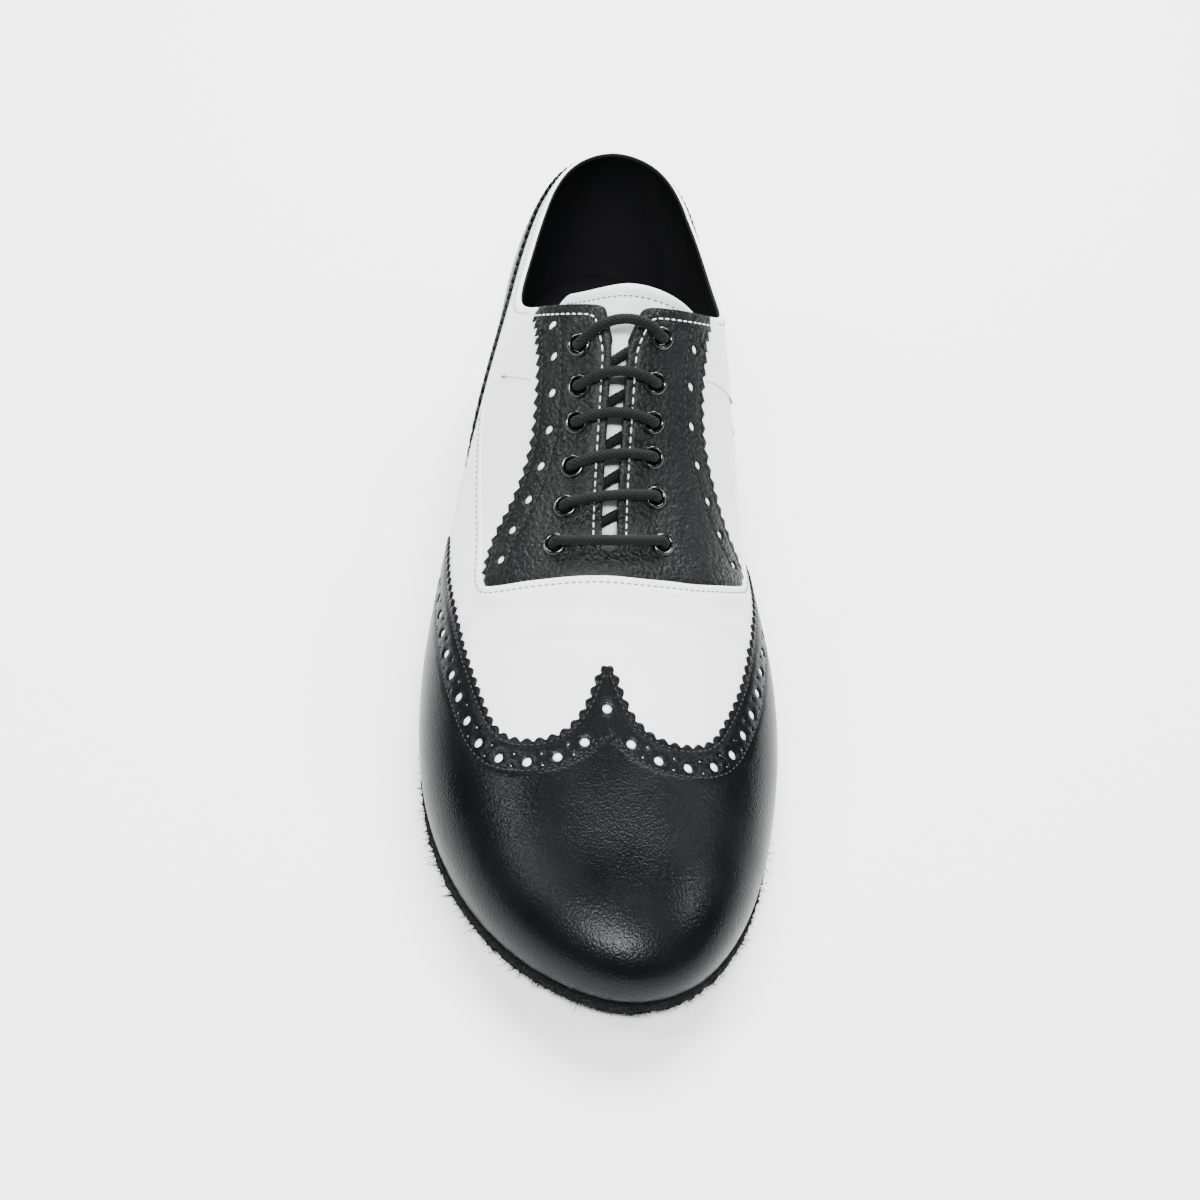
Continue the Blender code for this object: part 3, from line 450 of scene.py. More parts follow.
sock_line = offset_outline(feather, -0.0030)
sock_along = (HEEL_Y - sock_line[:, 1]) / LENGTH
sock_floor = sole_bottom(sock_along) + SOLE_THICKNESS + INSOLE_LIFT
sock_rings = [np.column_stack([sock_line, sock_floor + h]) for h in (0.0, 0.0019)]
sock_rings.append(np.column_stack([offset_outline(sock_line, -0.0005), sock_floor + 0.0024]))
plate("insole_sock", sock_rings, lining_leather, ["insole"])


# Upper: white leather quarters and vamp with the black lining inside, one wall that is open at the collar,
# along the throat and underneath. Its topline is turned over and stitched, and the leather of the vamp has
# the soft creases of a shoe that was tried on.
COLLAR_FRONT = 0.385
CORNER_START = 0.335  # along, where the topline turns up towards the slot
CORNER_END = 0.41
CORNER_ROUND = 0.004
SLOT_END = 0.592
SLOT_ROUND = SLOT_END - 0.0085  # along, where the slot's round end starts
SLOT_HALF = 0.0023
SLOT_FLARE = 0.0030
SLOT_RECESS = 0.0006  # how far the white edge lies back under the black facing's edge
RECESS_START = 0.42  # along, from where it does
EYELET_HOLE = 0.0026  # radius of the holes in the upper
FACING_REACH = 0.335  # arc that the facing covers at the topline, as a share of BALL_WIDTH
COLLAR = (
    # along, height above the feather line (share of INSTEP_HEIGHT)
    (0.000, 0.660), (0.060, 0.645), (0.130, 0.600), (0.200, 0.560), (0.250, 0.560),
    (0.295, 0.620), (0.345, 0.770), (0.385, 0.960),
)
EYELETS = (
    # outer along, inner along, arc from the ridge, bow of the lace's bar to the heel (shares of BALL_WIDTH)
    (0.582, 0.577, 0.152, -0.014), (0.546, 0.534, 0.126, -0.002), (0.511, 0.500, 0.112, 0.004),
    (0.475, 0.472, 0.108, 0.008), (0.447, 0.442, 0.108, 0.014), (0.415, 0.407, 0.118, 0.026),
)
EYELET_PLACES = {
    (pair, sign): np.array([sign * arc * BALL_WIDTH, (outer if sign < 0 else inner) * LENGTH])
    for pair, (outer, inner, arc, _) in enumerate(EYELETS) for sign in (-1, 1)
}
VAMP_CREASES = (
    # along, where its middle lies across (share of BALL_WIDTH), half length, depth, slant of the crease
    (0.628, -0.10, 0.30, 0.00050, 0.10), (0.652, 0.08, 0.34, 0.00042, -0.06),
    (0.676, -0.14, 0.26, 0.00040, 0.05), (0.640, -0.42, 0.16, 0.00045, 0.22),
    (0.646, 0.43, 0.16, 0.00045, -0.22), (0.610, 0.47, 0.12, 0.00035, -0.30),
    (0.606, -0.46, 0.12, 0.00035, 0.28),
)
CREASE_WIDTH = 0.0022
collar_height = columns(COLLAR)[0]
UPPER_ROWS = 54
RIM_STEPS = 6

white_leather = leather(
    "white leather", (0.78, 0.79, 0.79), (0.86, 0.865, 0.865), 0.36, 0.48,
    {"Cells per metre": 1500.0, "Cell depth": 0.35, "Wrinkles per metre": 90.0, "Wrinkle depth": 0.5},
    depth=0.00010,
)


def crease_depth(q, creases):
    """Depth of soft creases at chart positions: a trough with a low ridge on each side."""
    deep = np.zeros(len(q))
    for along, across, half, depth, slant in creases:
        side = q[:, 0] / BALL_WIDTH - across
        off = (q[:, 1] / LENGTH - along - slant * side**2) * LENGTH
        ends = np.clip(1 - (side / half) ** 2, 0, 1) ** 1.5
        off = (off / CREASE_WIDTH) ** 2
        deep += depth * ends * (1 - 0.8 * off) * np.exp(-off)
    return deep


def slot_half(along):
    """Half width of the throat slot, flared at the top."""
    return SLOT_HALF + SLOT_FLARE * (1 - ease((along - COLLAR_FRONT) / 0.045))


def collar_arc(along, angle):
    """Distance from the ridge down to the topline on each half section."""
    control = half_sections(along, angle)
    ts = np.linspace(0, 1, 120)
    points = on_curve(control, np.broadcast_to(ts, (len(control), len(ts))))
    foot_along = (HEEL_Y - points[:, 0, 1]) / LENGTH
    height = collar_height(np.minimum(foot_along, COLLAR_FRONT)) * INSTEP_HEIGHT + points[:, 0, 2]
    steps = np.linalg.norm(np.diff(points, axis=1), axis=2)
    run = np.concatenate([np.cumsum(steps[:, ::-1], axis=1)[:, ::-1], np.zeros((len(control), 1))], 1)
    return np.array([np.interp(h, z, r) for h, z, r in zip(height, points[:, :, 2], run)])


def opening_arc(along, angle):
    """Distance from the ridge to the upper's open edge, with the corner of collar and slot rounded."""
    step = 0.004
    front, behind = (collar_arc(np.full(1, at), angle[:1])[0] for at in (COLLAR_FRONT, COLLAR_FRONT - step))
    fall = (front - behind) / step
    arc = collar_arc(np.minimum(along, COLLAR_FRONT), angle) + np.maximum(along - COLLAR_FRONT, 0) * fall
    slot = slot_half(along)
    return (arc + slot + np.sqrt((arc - slot) ** 2 + CORNER_ROUND**2)) / 2


def upper_stations():
    """(along, angle, arc of the open edge) once round from the inner side of the heel pivot."""
    side = np.concatenate([
        np.linspace(HEEL_PIVOT, CORNER_START, 36)[:-1], np.linspace(CORNER_START, CORNER_END, 60)[:-1],
        np.linspace(CORNER_END, SLOT_END - 0.010, 34), np.linspace(SLOT_ROUND, SLOT_END, 8),
        np.linspace(SLOT_END + 0.006, TOE_PIVOT, 44),
    ])
    back = side < CORNER_START
    edges = {}
    for angle in (INNER, OUTER):
        arc = opening_arc(side, np.full(len(side), angle))
        arc[back] = collar_arc(side[back], np.full(back.sum(), angle))
        round_end = np.clip((SLOT_END - side) * LENGTH / SLOT_HALF, 0, 1)
        arc = np.where(side > RECESS_START, (arc + SLOT_RECESS) * np.sqrt(1 - (1 - round_end) ** 2), arc)
        edges[angle] = np.where(side >= SLOT_END - 1e-6, 0, arc)
    toe = np.linspace(0, math.pi, 74)[1:-1]
    heel = np.linspace(math.pi, 2 * math.pi, 64)[1:-1]
    heel_edge = collar_arc(np.full(len(heel), HEEL_PIVOT), heel)
    along = np.concatenate([side, np.full(len(toe), TOE_PIVOT), side[::-1], np.full(len(heel), HEEL_PIVOT)])
    angle = np.concatenate([0 * side, toe, 0 * side + math.pi, heel])
    edge = np.concatenate([edges[INNER], 0 * toe, edges[OUTER][::-1], heel_edge])
    return along, angle, edge


along, angle, edge = upper_stations()
count = len(along)
whole = share_at(half_sections(along, angle), edge)[1]
share = np.linspace(0, 1, UPPER_ROWS)
arcs = whole[:, None] + (edge - whole)[:, None] * share
all_along, all_angles = np.repeat(along, UPPER_ROWS), np.repeat(angle, UPPER_ROWS)
skin, skin_normals = on_last(all_along, all_angles, arcs.ravel())
reach_out = np.stack([np.cos(all_angles), np.sin(all_angles)], -1)
chart_of_skin = np.array([0, LENGTH]) * all_along[:, None] + reach_out * arcs.ravel()[:, None]
front = all_angles <= OUTER + 1e-9
crease = np.where(front, crease_depth(chart_of_skin, VAMP_CREASES), 0)
skin = skin - crease[:, None] * skin_normals
skin, skin_normals = skin.reshape(count, UPPER_ROWS, 3), skin_normals.reshape(count, UPPER_ROWS, 3)
beyond = skin[:, -1] - skin[:, -2]
beyond -= (beyond * skin_normals[:, -1]).sum(1)[:, None] * skin_normals[:, -1]
beyond /= np.linalg.norm(beyond, axis=1)[:, None] + 1e-12
turn = np.linspace(0, math.pi, RIM_STEPS + 1)[None, 1:, None]
core = skin[:, -1:] - WALL / 2 * skin_normals[:, -1:]
rim = core + WALL / 2 * (np.cos(turn) * skin_normals[:, -1:] + 0.9 * np.sin(turn) * beyond[:, None])
inner_skin = (skin - WALL * skin_normals)[:, ::-1]
closed = edge < 1e-6
rim[closed] = inner_skin[closed][:, :1]
sheet = np.concatenate([skin, rim[:, :-1], inner_skin], axis=1)
width = sheet.shape[1]


def near_eyelet(points, radius):
    """True for chart positions that an eyelet's hole takes away."""
    taken = np.zeros(len(points), bool)
    for place in EYELET_PLACES.values():
        taken |= np.linalg.norm(points - place, axis=1) < radius
    return taken


chart_grid = chart_of_skin.reshape(count, UPPER_ROWS, 2)
front_station = angle <= OUTER + 1e-9
upper_faces, upper_kinds = [], []
for i in range(count):
    j = (i + 1) % count
    for k in range(width - 1):
        outside, inside = k < UPPER_ROWS - 1, k >= UPPER_ROWS + RIM_STEPS - 2
        if closed[i] and closed[j] and not outside and not inside:
            continue
        row = k if outside else min(max(width - 2 - k, 0), UPPER_ROWS - 2)
        middle = (chart_grid[i, row] + chart_grid[j, row + 1]) / 2
        if front_station[i] and (outside or inside) and near_eyelet(middle[None], EYELET_HOLE)[0]:
            continue
        covered = front_station[i] and abs(middle[0]) < FACING_REACH * BALL_WIDTH and along[i] > 0.3
        white = outside or (not inside and k < UPPER_ROWS + RIM_STEPS // 2 - 1 and not covered)
        upper_faces.append((i * width + k, j * width + k, j * width + k + 1, i * width + k + 1))
        upper_kinds.append(0 if white else 1)
new_piece("upper_leather", sheet.reshape(-1, 3), upper_faces, [white_leather, lining_leather],
          ["upper"], upper_kinds)


# Counter: black leather foxing round the heel, its upper edge pinked, punched and stitched down on the
# quarters.
COUNTER = (
    # along, height (share of INSTEP_HEIGHT) measured up the wall
    (0.000, 0.630), (0.070, 0.590), (0.140, 0.490), (0.215, 0.420), (0.300, 0.385),
    (0.360, 0.335), (0.405, 0.220), (0.440, 0.080),
)
OVERLAY_LIFT = 0.0001
OVERLAY_THICKNESS = 0.0012
EDGE_ROLL = 0.00018  # how far a cut edge is rounded down
EDGE_WIDTH = 0.00036
TOOTH = 0.0034  # pitch of the pinking
TOOTH_DEPTH = 0.0013
EDGE_TO_STITCH = 0.0014
EDGE_TO_HOLES = 0.0059
EDGE_TO_SECOND_STITCH = 0.0084
BIG_HOLE = 0.00132  # radius
SMALL_HOLE = 0.00032
HOLE_PITCH = 0.0083
PAIR_SPREAD = 0.0016  # how far each small hole lies from the row's middle
GROOVE_DEPTH = 0.00028  # how far a row of stitches draws the leather in
GROOVE_WIDTH = 0.0005
GROOVE_FLANK = 0.0007
GROOVE_STEP = 0.0011  # spacing of the mesh along a groove, and what it keeps clear beside it
POINT_CELL = 0.00035  # square that takes no more than one point of edges and grooves
STITCH_SEAT = OVERLAY_LIFT + OVERLAY_THICKNESS - 0.00022

black_leather = leather(
    "black leather", (0.0009, 0.0014, 0.0017), (0.0028, 0.0040, 0.0047), 0.24, 0.38,
    {"Cells per metre": 1700.0, "Cell depth": 0.7, "Wrinkles per metre": 110.0, "Wrinkle depth": 0.35},
    depth=0.00012, gleam=0.115,
)


def inside_loops(points, loops):
    """True for points inside an odd number of the loops."""
    odd = np.zeros(len(points), bool)
    for loop in loops:
        low, high = loop.min(0), loop.max(0)
        near = np.flatnonzero(np.all((points >= low) & (points <= high), axis=1))
        x, y = points[near, 0], points[near, 1]
        for (x0, y0), (x1, y1) in zip(loop, np.roll(loop, -1, axis=0)):
            if y0 != y1:
                odd[near] ^= ((y0 > y) != (y1 > y)) & (x < (x1 - x0) * (y - y0) / (y1 - y0) + x0)
    return odd


def distance_to(points, lines, limit):
    """Distance of points from polylines, or limit where they are further than that."""
    best = np.full(len(points), limit)
    for line in lines:
        for a, b in zip(line[:-1], line[1:]):
            low, high = np.minimum(a, b) - limit, np.maximum(a, b) + limit
            near = np.flatnonzero(np.all((points > low) & (points < high), axis=1))
            run = b - a
            gap = points[near] - a
            part = np.clip(gap @ run / (run @ run + 1e-18), 0, 1)
            best[near] = np.minimum(best[near], np.linalg.norm(gap - part[:, None] * run, axis=1))
    return best


def ringed(loop):
    return np.concatenate([loop, loop[:1]])


def run_along(line):
    """Distance along a polyline at each of its points."""
    return np.concatenate([[0], np.cumsum(np.linalg.norm(np.diff(line, axis=0), axis=1))])


def spaced(line, step):
    """Points along a polyline about step apart, ends kept, with the distance along it."""
    run = run_along(line)
    at = np.linspace(0, run[-1], max(2, int(round(run[-1] / step)) + 1))
    return np.column_stack([np.interp(at, run, line[:, k]) for k in range(2)]), at


def beside(line, distance):
    """A polyline moved sideways, + to the left of its way."""
    way = np.gradient(line, axis=0)
    way /= np.linalg.norm(way, axis=1)[:, None] + 1e-15
    return line + distance * np.column_stack([-way[:, 1], way[:, 0]])


def pinked(line, sign, depth=TOOTH_DEPTH, pitch=TOOTH, pointed=False, start=0.0):
    """A smooth edge cut into rounded or pointed teeth that stand out to the side that sign gives, + to the
    left. start is the share of a tooth at which the line begins."""
    whole = spaced(line, pitch)[1][-1]
    teeth = max(1, round(whole / pitch))
    line, at = spaced(line, whole / (8 * teeth))
    part = at / whole * teeth + start
    wave = 1 - np.abs(2 * (part % 1) - 1) if pointed else np.abs(np.sin(math.pi * part)) ** 0.9
    return line + (beside(line, sign * depth) - line) * (wave[:, None] - 0.5)


def circle(centre, radius, sides, stretch):
    turn = np.arange(sides) / sides * 2 * math.pi
    return centre + radius * np.column_stack([np.cos(turn) / stretch[0], np.sin(turn) / stretch[1]])


def chart_stretch(surface, q):
    """How many metres on the leather a metre of chart is, each way."""
    q, step = np.asarray(q, float), 0.0005
    sides = np.array([q + [step, 0], q - [step, 0], q + [0, step], q - [0, step]])
    p = surface(sides)[0]
    return np.linalg.norm(p[0] - p[1]) / (2 * step), np.linalg.norm(p[2] - p[3]) / (2 * step)


def broguing(surface, line):
    """Loops of a row of big holes along a line with pairs of small ones between them."""
    centres, _ = spaced(line, HOLE_PITCH)
    loops = []
    for a, b in zip(centres[:-1], centres[1:]):
        stretch = chart_stretch(surface, a)
        loops.append(circle(a, BIG_HOLE, 16, stretch))
        middle, way = (a + b) / 2, (b - a) / np.linalg.norm(b - a)
        side = np.array([-way[1], way[0]])
        for k in (-1, 1):
            loops.append(circle(middle + k * PAIR_SPREAD * side, SMALL_HOLE, 8, stretch))
    loops.append(circle(centres[-1], BIG_HOLE, 16, chart_stretch(surface, centres[-1])))
    return loops


def pattern_piece(name, surface, loop, holes, grooves, material, replaced, spacing=0.0014,
                  thickness=OVERLAY_THICKNESS, lift=OVERLAY_LIFT, depth_at=None, relief=None):
    """Leather cut to a chart loop with holes in it, laid on the last. Its edges are rounded, and it is drawn
    in along its grooves, where it is stitched."""
    loops = [loop, *holes]
    edges = [ringed(each) for each in loops]
    lines = [spaced(line, GROOVE_STEP)[0] for line in grooves]
    low, high = loop.min(0), loop.max(0)
    xs, ys = np.meshgrid(np.arange(low[0], high[0], spacing), np.arange(low[1], high[1], spacing * 0.87))
    xs[::2] += spacing / 2
    field = np.column_stack([xs.ravel(), ys.ravel()])
    field = field[inside_loops(field, loops)]
    field = field[distance_to(field, edges, 0.002) > EDGE_WIDTH + 0.45 * spacing]
    field = field[distance_to(field, lines, 0.002) > GROOVE_STEP]
    flanks = [beside(line, k) for line in lines for k in (-GROOVE_FLANK, GROOVE_FLANK)]
    rings = [beside(edge, k) for edge in edges for k in (-EDGE_WIDTH, EDGE_WIDTH)]
    extra = np.concatenate([*lines, *flanks, *rings])
    extra = extra[inside_loops(extra, loops)]
    extra = extra[distance_to(extra, edges, 0.001) > 0.8 * EDGE_WIDTH]
    keep, taken = [], set()
    for k, cell in enumerate(map(tuple, np.round(extra / POINT_CELL).astype(int))):
        if cell not in taken:
            taken.add(cell)
            keep.append(k)
    verts = [Vector(v) for v in np.concatenate([*loops, extra[keep], field])]
    bounds, first = [], 0
    for each in loops:
        bounds += [(first + i, first + (i + 1) % len(each)) for i in range(len(each))]
        first += len(each)
    flat, _, cut, *_ = delaunay_2d_cdt(verts, bounds, [], 0, 1e-9)
    flat = np.array([tuple(v) for v in flat])
    cut = np.array([list(face) for face in cut if len(face) == 3])
    cut = cut[inside_loops(flat[cut].mean(axis=1), loops)]
    edge_gap = distance_to(flat, edges, EDGE_WIDTH)
    rise = thickness - EDGE_ROLL * (1 - edge_gap / EDGE_WIDTH) ** 2
    if lines:
        rise -= GROOVE_DEPTH * np.exp(-((distance_to(flat, lines, 0.003) / GROOVE_WIDTH) ** 2))
    if relief:
        rise -= relief(flat)
    points, normals = surface(flat)
    depth = np.full(len(flat), lift) if depth_at is None else depth_at(flat)
    top, foot = points + (lift + rise)[:, None] * normals, points + depth[:, None] * normals
    total = len(flat)
    used = dict.fromkeys(edge for a, b, c in cut for edge in ((a, b), (b, c), (c, a)))
    rim = [(b, a, a + total, b + total) for a, b in used if (b, a) not in used]
    faces = [*cut.tolist(), *rim]
    a, b, c = cut[0]
    if np.cross(points[b] - points[a], points[c] - points[a]) @ normals[a] < 0:
        faces = [face[::-1] for face in faces]
    new_piece(name, np.concatenate([top, foot]), faces, [material], replaced, sharp=55)


def hole_floors(name, surface, loops):
    """The white leather below, which stands up a little into the punched holes: a shallow dome in each."""
    points, faces = [], []
    for loop in loops:
        middle, count, first = loop.mean(axis=0), len(loop), sum(map(len, points))
        rings = [middle + (loop - middle) * share for share in (1.2, 0.85, 0.45)]
        spots, normals = surface(np.concatenate([*rings, middle[None]]))
        height = np.repeat([0.0002, 0.0007, 0.0009, 0.0009], [count, count, count, 1])
        points.append(spots + height[:, None] * normals)
        faces += round_faces(3, count, first)
        last = first + 2 * count
        faces += [(last + k, last + (k + 1) % count, first + 3 * count) for k in range(count)]
    new_piece(name, np.concatenate(points), faces, [white_leather])


# Thread: waxed thread in white, pale grey and black, sewn in small stitches. Each stitch is a short tapered
# bead that dips into the leather at its ends.
STITCH_DIP = 0.00016


def thread_material(name, colour):
    material, tree, shader = new_material(name)
    spot = node(tree, "ShaderNodeTexCoord").outputs["Object"]
    wear = node(tree, "ShaderNodeTexNoise", vector=spot, scale=600.0, detail=2.0)
    worn = [0.75 * c for c in colour]
    plug(tree, shader, base_color=two_tone(tree, wear, worn, colour), roughness=0.65)
    return material


white_thread = thread_material("white thread", (0.82, 0.83, 0.83))
grey_thread = thread_material("pale grey thread", (0.20, 0.21, 0.22))
black_thread = thread_material("black thread", (0.0040, 0.0046, 0.0048))


def stitches(name, surface, rows, rise, material, pitch=0.0021, share=0.66, radius=0.00021):
    """Rows of stitches along chart lines, as one mesh of small tapered beads."""
    sides, rings = 6, 5
    centres = []
    for row in rows:
        line, _ = spaced(row, pitch)
        for a, b in zip(line[:-1], line[1:]):
            part = np.linspace(0.5 - share / 2, 0.5 + share / 2, rings)[:, None]
            centres.append(a + part * (b - a))
    centres = np.array(centres)
    count = len(centres)
    points, normals = surface(centres.reshape(-1, 2))
    height = rise(centres.reshape(-1, 2)) if callable(rise) else rise
    dip = np.tile(-STITCH_DIP * np.linspace(-1, 1, rings) ** 4, count)
    points = points + (height + 0.00006 + dip)[:, None] * normals
    points, normals = points.reshape(count, rings, 3), normals.reshape(count, rings, 3)
    way = points[:, -1:] - points[:, :1]
    way /= np.linalg.norm(way, axis=2)[..., None]
    side = np.cross(np.broadcast_to(way, points.shape), normals)
    taper = radius * np.array([0.55, 0.95, 1.0, 0.95, 0.55])[None, :, None, None]
    turn = (np.arange(sides) * 2 * math.pi / sides)[None, None, :, None]
    tube = points[:, :, None] + taper * (np.cos(turn) * side[:, :, None] + np.sin(turn) * normals[:, :, None])
    faces = []
    for first in range(0, count * rings * sides, rings * sides):
        last = first + (rings - 1) * sides
        faces += round_faces(rings, sides, first)
        faces += [tuple(range(first, first + sides))[::-1], tuple(range(last, last + sides))]
    new_piece(name, tube.reshape(-1, 3), faces, [material])


counter_height = columns(COUNTER)[0]
half_way = math.pi / 2 * HEEL_PIVOT * LENGTH
end_reach = half_way + (COUNTER[-1][0] - HEEL_PIVOT) * LENGTH


def along_at(w):
    """Share of the length at distances round the feather line from the heel's back."""
    foot = on_heel(np.column_stack([w, 0 * w + 0.001]))[0]
    return (HEEL_Y - foot[:, 1]) / LENGTH


round_back = np.linspace(-end_reach, end_reach, 240)
counter_edge = np.column_stack([round_back, counter_height(along_at(round_back)) * INSTEP_HEIGHT])
counter_top = pinked(counter_edge, 1)
counter_foot = np.column_stack([np.linspace(end_reach, -end_reach, 200), np.full(200, 0.0002)])
punched_line = beside(counter_edge, -EDGE_TO_HOLES)[6:-6]
counter_holes = broguing(on_heel, punched_line[punched_line[:, 1] > 0.006])
first_row, second_row = (beside(counter_edge, -inset) for inset in (EDGE_TO_STITCH, EDGE_TO_SECOND_STITCH))
counter_rows = [row[row[:, 1] > 0.003] for row in (first_row[2:-2], second_row[6:-6])]
counter_loop = np.concatenate([counter_top, counter_foot])
pattern_piece("counter_leather", on_heel, counter_loop, counter_holes, counter_rows, black_leather,
              ["counter"], spacing=0.0018)
hole_floors("counter_hole_floors", on_heel, counter_holes)
stitches("counter_stitching", on_heel, counter_rows, STITCH_SEAT, black_thread)


# Facing: one U-shaped piece of soft black leather round the throat that carries the eyelets. Its outer edge
# is pinked, with a row of punched holes through which the white shows, and white thread runs along the slot
# and the topline.
FACING = (
    # along, outer arc, inner arc (shares of BALL_WIDTH), from the topline down to the throat
    (0.352, 0.345, 0.325), (0.382, 0.292, 0.302), (0.412, 0.256, 0.290), (0.440, 0.247, 0.291),
    (0.470, 0.245, 0.311), (0.500, 0.262, 0.358), (0.530, 0.302, 0.422), (0.550, 0.340, 0.472),
    (0.566, 0.360, 0.470), (0.596, 0.370, 0.405), (0.613, 0.350, 0.290), (0.622, 0.235, 0.150),
    (0.625, 0.100, 0.060),
)
VAMP_EDGE = (
    # the seam of the vamp, under which the facing goes in: along, outer arc, inner arc, up both sides
    (0.6165, 0.000, 0.000), (0.6165, 0.090, 0.057), (0.6155, 0.180, 0.115), (0.6130, 0.255, 0.168),
    (0.6085, 0.330, 0.240), (0.6000, 0.376, 0.312), (0.5860, 0.392, 0.398), (0.5660, 0.398, 0.482),
    (0.5400, 0.408, 0.540), (0.5000, 0.442, 0.582), (0.4550, 0.490, 0.600), (0.4250, 0.530, 0.603),
    (0.3900, 0.580, 0.595),
)
FACING_CORNER = {INNER: 0.562, OUTER: 0.592}  # along, where the pinking goes in under the vamp
FACING_TOOTH = 0.0030
FACING_TOOTH_DEPTH = 0.0015
FACING_HOLE = 0.00118  # radius of its punched holes
FACING_HOLE_PITCH = 0.0078
PUCKER_DEPTH = 0.00030
PUCKER_RADIUS = 0.0042
PARED_OFF = 0.0006  # what is taken off its thickness under the vamp
SLOT_TO_STITCH = 0.0023
HOLE_IN_FACING = 0.0021  # radius, under each eyelet
facing_leather = leather(
    "soft black leather", (0.0010, 0.0014, 0.0014), (0.0044, 0.0056, 0.0056), 0.24, 0.46,
    {"Cells per metre": 1000.0, "Cell depth": 0.7, "Wrinkles per metre": 200.0, "Wrinkle depth": 1.6},
    depth=0.00055, coat=0.02, gleam=0.17,
)


def side_line(table, side, step=0.0010):
    """Chart points along one side of a table of (along, outer arc, inner arc)."""
    along, outer_arc, inner_arc = np.array(table).T
    arc = inner_arc if side == INNER else -outer_arc
    knots = np.column_stack([arc * BALL_WIDTH, along * LENGTH])
    run = run_along(knots)
    at = np.linspace(0, run[-1], round(run[-1] / step))
    return np.column_stack([Curve(run, knots[:, 0])(at), Curve(run, knots[:, 1])(at)])


slot_line = {}
for side, sign in SIGN.items():
    at = np.concatenate([np.linspace(0.357, 0.40, 70), np.linspace(0.401, SLOT_ROUND, 60)])
    arc = opening_arc(at, np.full(len(at), side)) - 0.0001
    turn = np.linspace(0, math.pi / 2, 10)[1:]
    end = np.column_stack([SLOT_HALF * np.cos(turn), SLOT_ROUND * LENGTH + SLOT_HALF * np.sin(turn)])
    slot_line[side] = np.concatenate([np.column_stack([arc, at * LENGTH]), end]) * [sign, 1]
facing_cut = {}
for side, sign in SIGN.items():
    whole_line = side_line(FACING, side)
    whole_line = whole_line[whole_line[:, 1] > slot_line[side][0, 1] + 0.001]
    corner = np.argmax(whole_line[:, 1] > FACING_CORNER[side] * LENGTH)
    teeth = pinked(whole_line[: corner + 1], -sign, FACING_TOOTH_DEPTH, FACING_TOOTH, pointed=True)
    facing_cut[side] = (whole_line, teeth, spaced(whole_line[corner:], 0.0012)[0][1:], corner)
facing_loop = np.concatenate([
    facing_cut[INNER][1], facing_cut[INNER][2], [[0.0, FACING[-1][0] * LENGTH]],
    facing_cut[OUTER][2][::-1], facing_cut[OUTER][1][::-1],
    slot_line[OUTER][:-1], slot_line[INNER][::-1],
])
facing_rows, facing_white, facing_holes = [], [], []
for side, sign in SIGN.items():
    whole_line, _, _, corner = facing_cut[side]
    for inset in (EDGE_TO_STITCH + 0.0004, EDGE_TO_SECOND_STITCH - 0.0004):
        row = beside(whole_line[3 : corner - 2], sign * inset)
        clear = distance_to(row, [ringed(facing_loop)], 0.003) > 0.0012
        facing_rows.append(row[inside_loops(row, [facing_loop]) & clear])
    holes = beside(whole_line[11 : corner - 3], sign * (EDGE_TO_HOLES - 0.0004))
    for centre in spaced(holes, FACING_HOLE_PITCH)[0]:
        facing_holes.append(circle(centre, FACING_HOLE, 14, chart_stretch(on_chart, centre)))
    bound = beside(slot_line[side], -sign * SLOT_TO_STITCH)
    bound = bound[np.abs(bound[:, 0]) > SLOT_HALF + 0.8 * SLOT_TO_STITCH]
    bound = bound[bound[:, 1] < (SLOT_END - 0.004) * LENGTH]
    facing_white.append(spaced(bound, 0.0008)[0])
facing_floors = list(facing_holes)
for centre in EYELET_PLACES.values():
    facing_holes.append(circle(centre, HOLE_IN_FACING, 20, chart_stretch(on_chart, centre)))


def facing_depth(q):
    """The cut edge goes down through the upper's wall along the slot and the topline."""
    lines = [slot_line[INNER], slot_line[OUTER]]
    return np.where(distance_to(q, lines, 0.001) < 0.0004, -WALL * 0.9, OVERLAY_LIFT)


def eyelet_pucker(q):
    """The leather is drawn down round each eyelet."""
    deep = np.zeros(len(q))
    for place in EYELET_PLACES.values():
        deep += PUCKER_DEPTH * np.exp(-((np.linalg.norm(q - place, axis=1) / PUCKER_RADIUS) ** 2))
    return deep


vamp_side = {side: side_line(VAMP_EDGE, side) for side in (INNER, OUTER)}
vamp_seam = np.concatenate([vamp_side[OUTER][::-1], vamp_side[INNER][1:]])


def facing_relief(q):
    """Drawn down round the eyelets, and pared thin where it goes in under the vamp."""
    behind = inside_loops(q, [vamp_seam])
    thinner = 1 - ease(distance_to(q, [vamp_seam], 0.004) / 0.0010)
    return eyelet_pucker(q) + PARED_OFF * np.where(behind, thinner, 1)


pattern_piece("facing_leather", on_chart, facing_loop, facing_holes, [*facing_rows, *facing_white],
              facing_leather, ["facing"], spacing=0.0013, depth_at=facing_depth,
              relief=facing_relief)
hole_floors("facing_hole_floors", on_chart, facing_floors)
stitches("facing_edge_stitching", on_chart, facing_rows, STITCH_SEAT, black_thread,
         pitch=0.0017)
stitches("facing_white_stitching", on_chart, facing_white, lambda q: STITCH_SEAT + 0.00006 - eyelet_pucker(q),
         white_thread, radius=0.00026)


